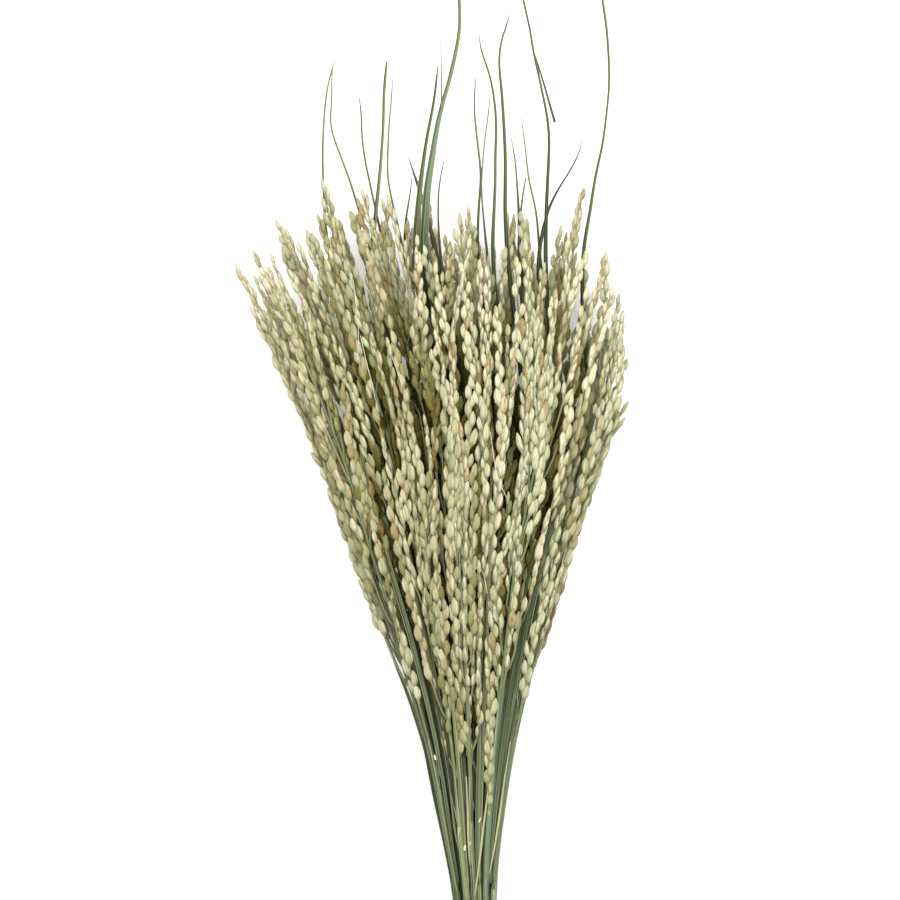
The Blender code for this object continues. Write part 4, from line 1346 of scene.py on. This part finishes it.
def tall_leaf(bm, stalk, place, sheath, facing):
    """A leaf that stands out of the heads, with any strip that is split off it."""
    points = tall_leaf_points(stalk, place)
    route, end = sheathed(stalk, stalk.collar, sheath, points)
    _, line, (low, middle, tip) = stalk.leaf
    foot, top = line[0][1] * MM, line[-1][1] * MM
    stations = [
        (stalk.collar, 1.6 * MM),
        (stalk.collar + 50 * MM, max(low, 1.9) * MM),
        (foot - 30 * MM, max(low, 1.4) * MM),
        (foot, low * 0.85 * MM),
        ((foot + top) / 2, middle * 0.8 * MM),
        (top - 6 * MM, (tip * 0.7 + middle * 0.3) * MM),
        (top, tip * MM * 0.6),
    ]
    tint = leaf_tint(stalk, 0.25, 0.68, 0.15)
    blade(bm, route, stations, tint, end, stalk.light, facing, 0.35)
    for leaf_number, strip, width in SPLIT_STRIPS:
        if TALL_LEAVES[leaf_number] is stalk.leaf:
            line = [spot(x * MM, along * MM, points[-1].z + 0.6 * MM) for x, along in strip]
            ends = sorted((line[0].y - NECK.y, line[-1].y - NECK.y))
            stations = [(ends[0], width * MM), (ends[1], width * 0.6 * MM)]
            blade(bm, Route(rounded(line)), stations, leaf_tint(stalk, 0.3, 0.4))


def leaves_of(stalk, taken, finishes):
    """The stalk's leaves, as one piece."""
    bm, _, _ = new_bmesh()
    place = leaf_place(stalk, taken)
    taken.append(place)
    sheath = stalk.collar - stalk.sheath_foot
    facing = chance.uniform(0, math.tau)
    if stalk.leaf:
        tall_leaf(bm, stalk, place, sheath, facing)
    else:
        last = chance.uniform(300, 385) * MM
        tint = leaf_tint(stalk, 0.6, 0.7)
        inner_leaf(bm, stalk, stalk.collar, place, last, sheath, 2.5 * MM, tint, facing)
    collar = chance.uniform(148, 165) * MM
    other = stalk.place + 0.17 * round_about(chance.uniform(0, math.tau))
    if other.length > 1:
        other.normalize()
    last = chance.uniform(250, 385) * MM
    width = chance.uniform(1.3, 2.8) * MM
    tint = leaf_tint(stalk, 1.0, 0.75)
    inner_leaf(bm, stalk, collar, other, last, 16 * MM, width, tint, facing + 2)
    made = piece(f"leaf_{stalk.number:02d}", bm, finishes, stalk.stem_node)
    thicken(made, LEAF_THICKNESS)


def outer_blades(stalks, finishes):
    """Loose blades that lie on the outside of the bunch, each with the nearest stalk."""
    blades = []
    for place, first, last, width in OUTER_BLADES:
        place, first, last = Vector(place), first * MM, last * MM
        alongs = evenly(first, last, int((last - first) / LEAF_STEP))
        points = [flow(place, along) for along in alongs]
        blades.append((place, points, narrowing(first, last, width * MM), None))
    line, width = LEFT_BLADE
    points = [spot(x * MM, along * MM, section(along * MM)[1]) for x, along in line]
    stations = narrowing(line[0][1] * MM, line[-1][1] * MM, width * MM)
    blades.append((Vector((-1, 0)), rounded(points), stations, LEFT_BLADE_TINT))
    for line, width in PALE_STRIPS:
        discs = [on_top(x * MM, along * MM, 0.04) for x, along in line]
        points = [
            flow(disc, along * MM) + 1.3 * MM * UP for disc, (_, along) in zip(discs, line)
        ]
        first, last = sorted((points[0].y - NECK.y, points[-1].y - NECK.y))
        stations = [(first, width * 0.5 * MM), (first * 0.6 + last * 0.4, width * MM)]
        stations += [(last, width * 0.4 * MM)]
        blades.append((discs[-1], rounded(points), stations, DRY_TINT))
    for number, (place, points, stations, tint) in enumerate(blades, 1):
        bm, _, _ = new_bmesh()
        stalk = min(stalks, key=lambda s: (s.place - place).length)
        if tint is not DRY_TINT:
            drawn = leaf_tint(stalk, 0.4, 0.8)
            tint = tint or drawn
        blade(bm, Route(points), stations, tint, twist=0.3)
        made = piece(f"outer_blade_{number}", bm, finishes, stalk.stem_node)
        thicken(made, LEAF_THICKNESS)


def scraps(finishes):
    """Torn cream scraps of leaf collar that cling to the stems."""
    bm, lay, tinted = new_bmesh()
    for x, along in COLLAR_SCRAPS:
        point = flow(on_top(x * MM, along * MM), along * MM) + 0.9 * MM * UP
        made = bmesh.ops.create_grid(bm, x_segments=3, y_segments=4, size=1.0)
        turn = chance.uniform(-0.5, 0.5)
        for vertex in made["verts"]:
            narrow = 1 - 0.7 * vertex.co.y**2
            x = (vertex.co.x * 0.42 * narrow + chance.gauss(0, 0.06)) * MM
            y = (vertex.co.y * 1.15 + chance.gauss(0, 0.08)) * MM
            curl = 0.35 * MM * (vertex.co.x**2 + 0.8 * vertex.co.y) + chance.gauss(0, 0.06) * MM
            vertex[lay] = (x, y, along * MM)
            vertex[tinted] = (0, 1, 1, 0)
            vertex.co = point + Matrix.Rotation(turn, 3, "Z") @ Vector((x, y, curl))
    made = piece("collar_scraps", bm, finishes, "leafy_stem_20")
    thicken(made, SCRAP_THICKNESS, -1.0)


def tie(finishes):
    """Two-ply twine wound three times round the neck, knotted on top, with frayed ends."""
    bm, _, _ = new_bmesh()
    centre = spot(0, TIE_ALONG, TIE_HEIGHT)
    winding = []
    for share in evenly(0, 1, TIE_STEPS):
        angle = math.pi / 2 + TIE_TURNS * math.tau * share
        x, z = round_about(angle) * TIE_RADIUS
        point = centre + Vector((x, (share - 0.5) * TIE_TURNS * TIE_PITCH, z))
        point.z = max(point.z, TIE_LOWEST)
        winding.append(point)
    line = Route(winding)
    for side in (0, math.pi):
        points = []
        for distance in evenly(0, line.length, TIE_STEPS):
            point, direction = line.at(distance)
            wide, _ = axes_of(direction, side + distance / PLY_LAY * math.tau, ALONG)
            points.append(point + wide * PLY_OFFSET)
        route = Route(points)
        tube(bm, route, tapered(route.length, TIE_STEPS, PLY_RADIUS, PLY_RADIUS), 6, pole=ALONG)

    top = centre + Vector((0, 0, TIE_RADIUS + 1.3 * MM))
    points = []
    for angle in evenly(0, math.tau, KNOT_STEPS):
        x, y = round_about(2 * angle) * KNOT_SIZE * (2 + math.cos(3 * angle)) * 0.5
        points.append(top + Vector((x * 1.25, y, math.sin(3 * angle) * 0.55 * MM)))
    route = Route(points)
    stations = tapered(route.length, KNOT_STEPS, KNOT_RADIUS, KNOT_RADIUS)[1:-1]
    tube(bm, route, stations, 7, pole=Vector((0.1, 0.2, 1)))
    for way in (-1, 1):
        points = []
        for t in evenly(0, 1, END_STEPS):
            points.append(top + Vector((way * t * 12.5, way * t * 4.4, -0.2 - 6.5 * t * t)) * MM)
        route = Route(points)
        tube(bm, route, tapered(route.length, END_STEPS, 0.78 * MM, 0.68 * MM), 7)
        end, direction = route.at(route.length)
        for _ in range(END_FIBRES):
            wander = Vector([chance.gauss(0, 1) for _ in range(3)]) * 0.35
            reach = chance.uniform(1.5, 3.0) * MM
            fibre = [
                end - direction * MM + wander * 0.4 * MM,
                end + (direction + wander * 0.6).normalized() * reach * 0.5,
                end + (direction + wander * 1.3).normalized() * reach,
            ]
            stations = [(0, 0.0), (0.1 * MM, 0.11 * MM), (reach * 0.6, 0.08 * MM)]
            tube(bm, Route(fibre), stations + [(reach * 1.2, 0.0)], 3)
    return piece("twine_tie", bm, finishes, "tie")


# Studio


def studio():
    """A pale floor, one soft light from above, and a camera straight over the bunch."""
    bm = bmesh.new()
    bmesh.ops.create_grid(bm, x_segments=1, y_segments=1, size=3.0)
    placed("floor", mesh_of("floor", bm, (floor_finish(),)))

    data = bpy.data.lights.new("key_light", "AREA")
    data.shape = "SQUARE"
    data.size = 1.3
    data.energy = 49.0
    light = placed("key_light", data)
    light.location = (0.06, 0.30, 1.66)
    aim = Vector((0, 0.05, 0.03)) - light.location
    light.rotation_euler = aim.to_track_quat("-Z", "Y").to_euler()

    world = bpy.data.worlds.new("studio")
    world.use_nodes = True
    background = world.node_tree.nodes["Background"]
    background.inputs["Color"].default_value = (1.0, 1.0, 1.0, 1.0)
    background.inputs["Strength"].default_value = 0.25
    bpy.context.scene.world = world
    bpy.context.scene.view_settings.view_transform = "Standard"

    data = bpy.data.cameras.new("camera")
    data.sensor_width = SENSOR_WIDTH
    data.lens = SENSOR_WIDTH * VIEW_DISTANCE / VIEW_WIDTH
    data.clip_end = 20.0
    camera = placed("camera", data)
    camera.location = spot(*VIEW_CENTRE, VIEW_HEIGHT + VIEW_DISTANCE)
    bpy.context.scene.camera = camera


def main():
    studio()
    stalks = [Stalk(number, place) for number, place in enumerate(stalk_places(), 1)]
    plan_leaves(stalks)
    strands = plan_strands(stalks)
    every_strand = [strand for group in strands for strand in group]
    settle(every_strand)
    tops = height_map(every_strand)
    pattern = grain_pattern()
    grain_finishes = (husk_finish(), branchlet_finish())
    culm_finishes = (culm_finish(),)
    blade_finishes = (blade_finish(),)
    scrap_finishes = (scrap_finish(),)
    taken = [stalk.place for stalk in stalks]
    for stalk, group in zip(stalks, strands):
        head_of(stalk, group, pattern, tops, grain_finishes)
        stem_of(stalk, culm_finishes)
        leaves_of(stalk, taken, blade_finishes)
    outer_blades(stalks, blade_finishes)
    threads(stalks, tops, scrap_finishes)
    scraps(scrap_finishes)
    tie((twine_finish(),))
    bpy.data.meshes.remove(pattern)


main()
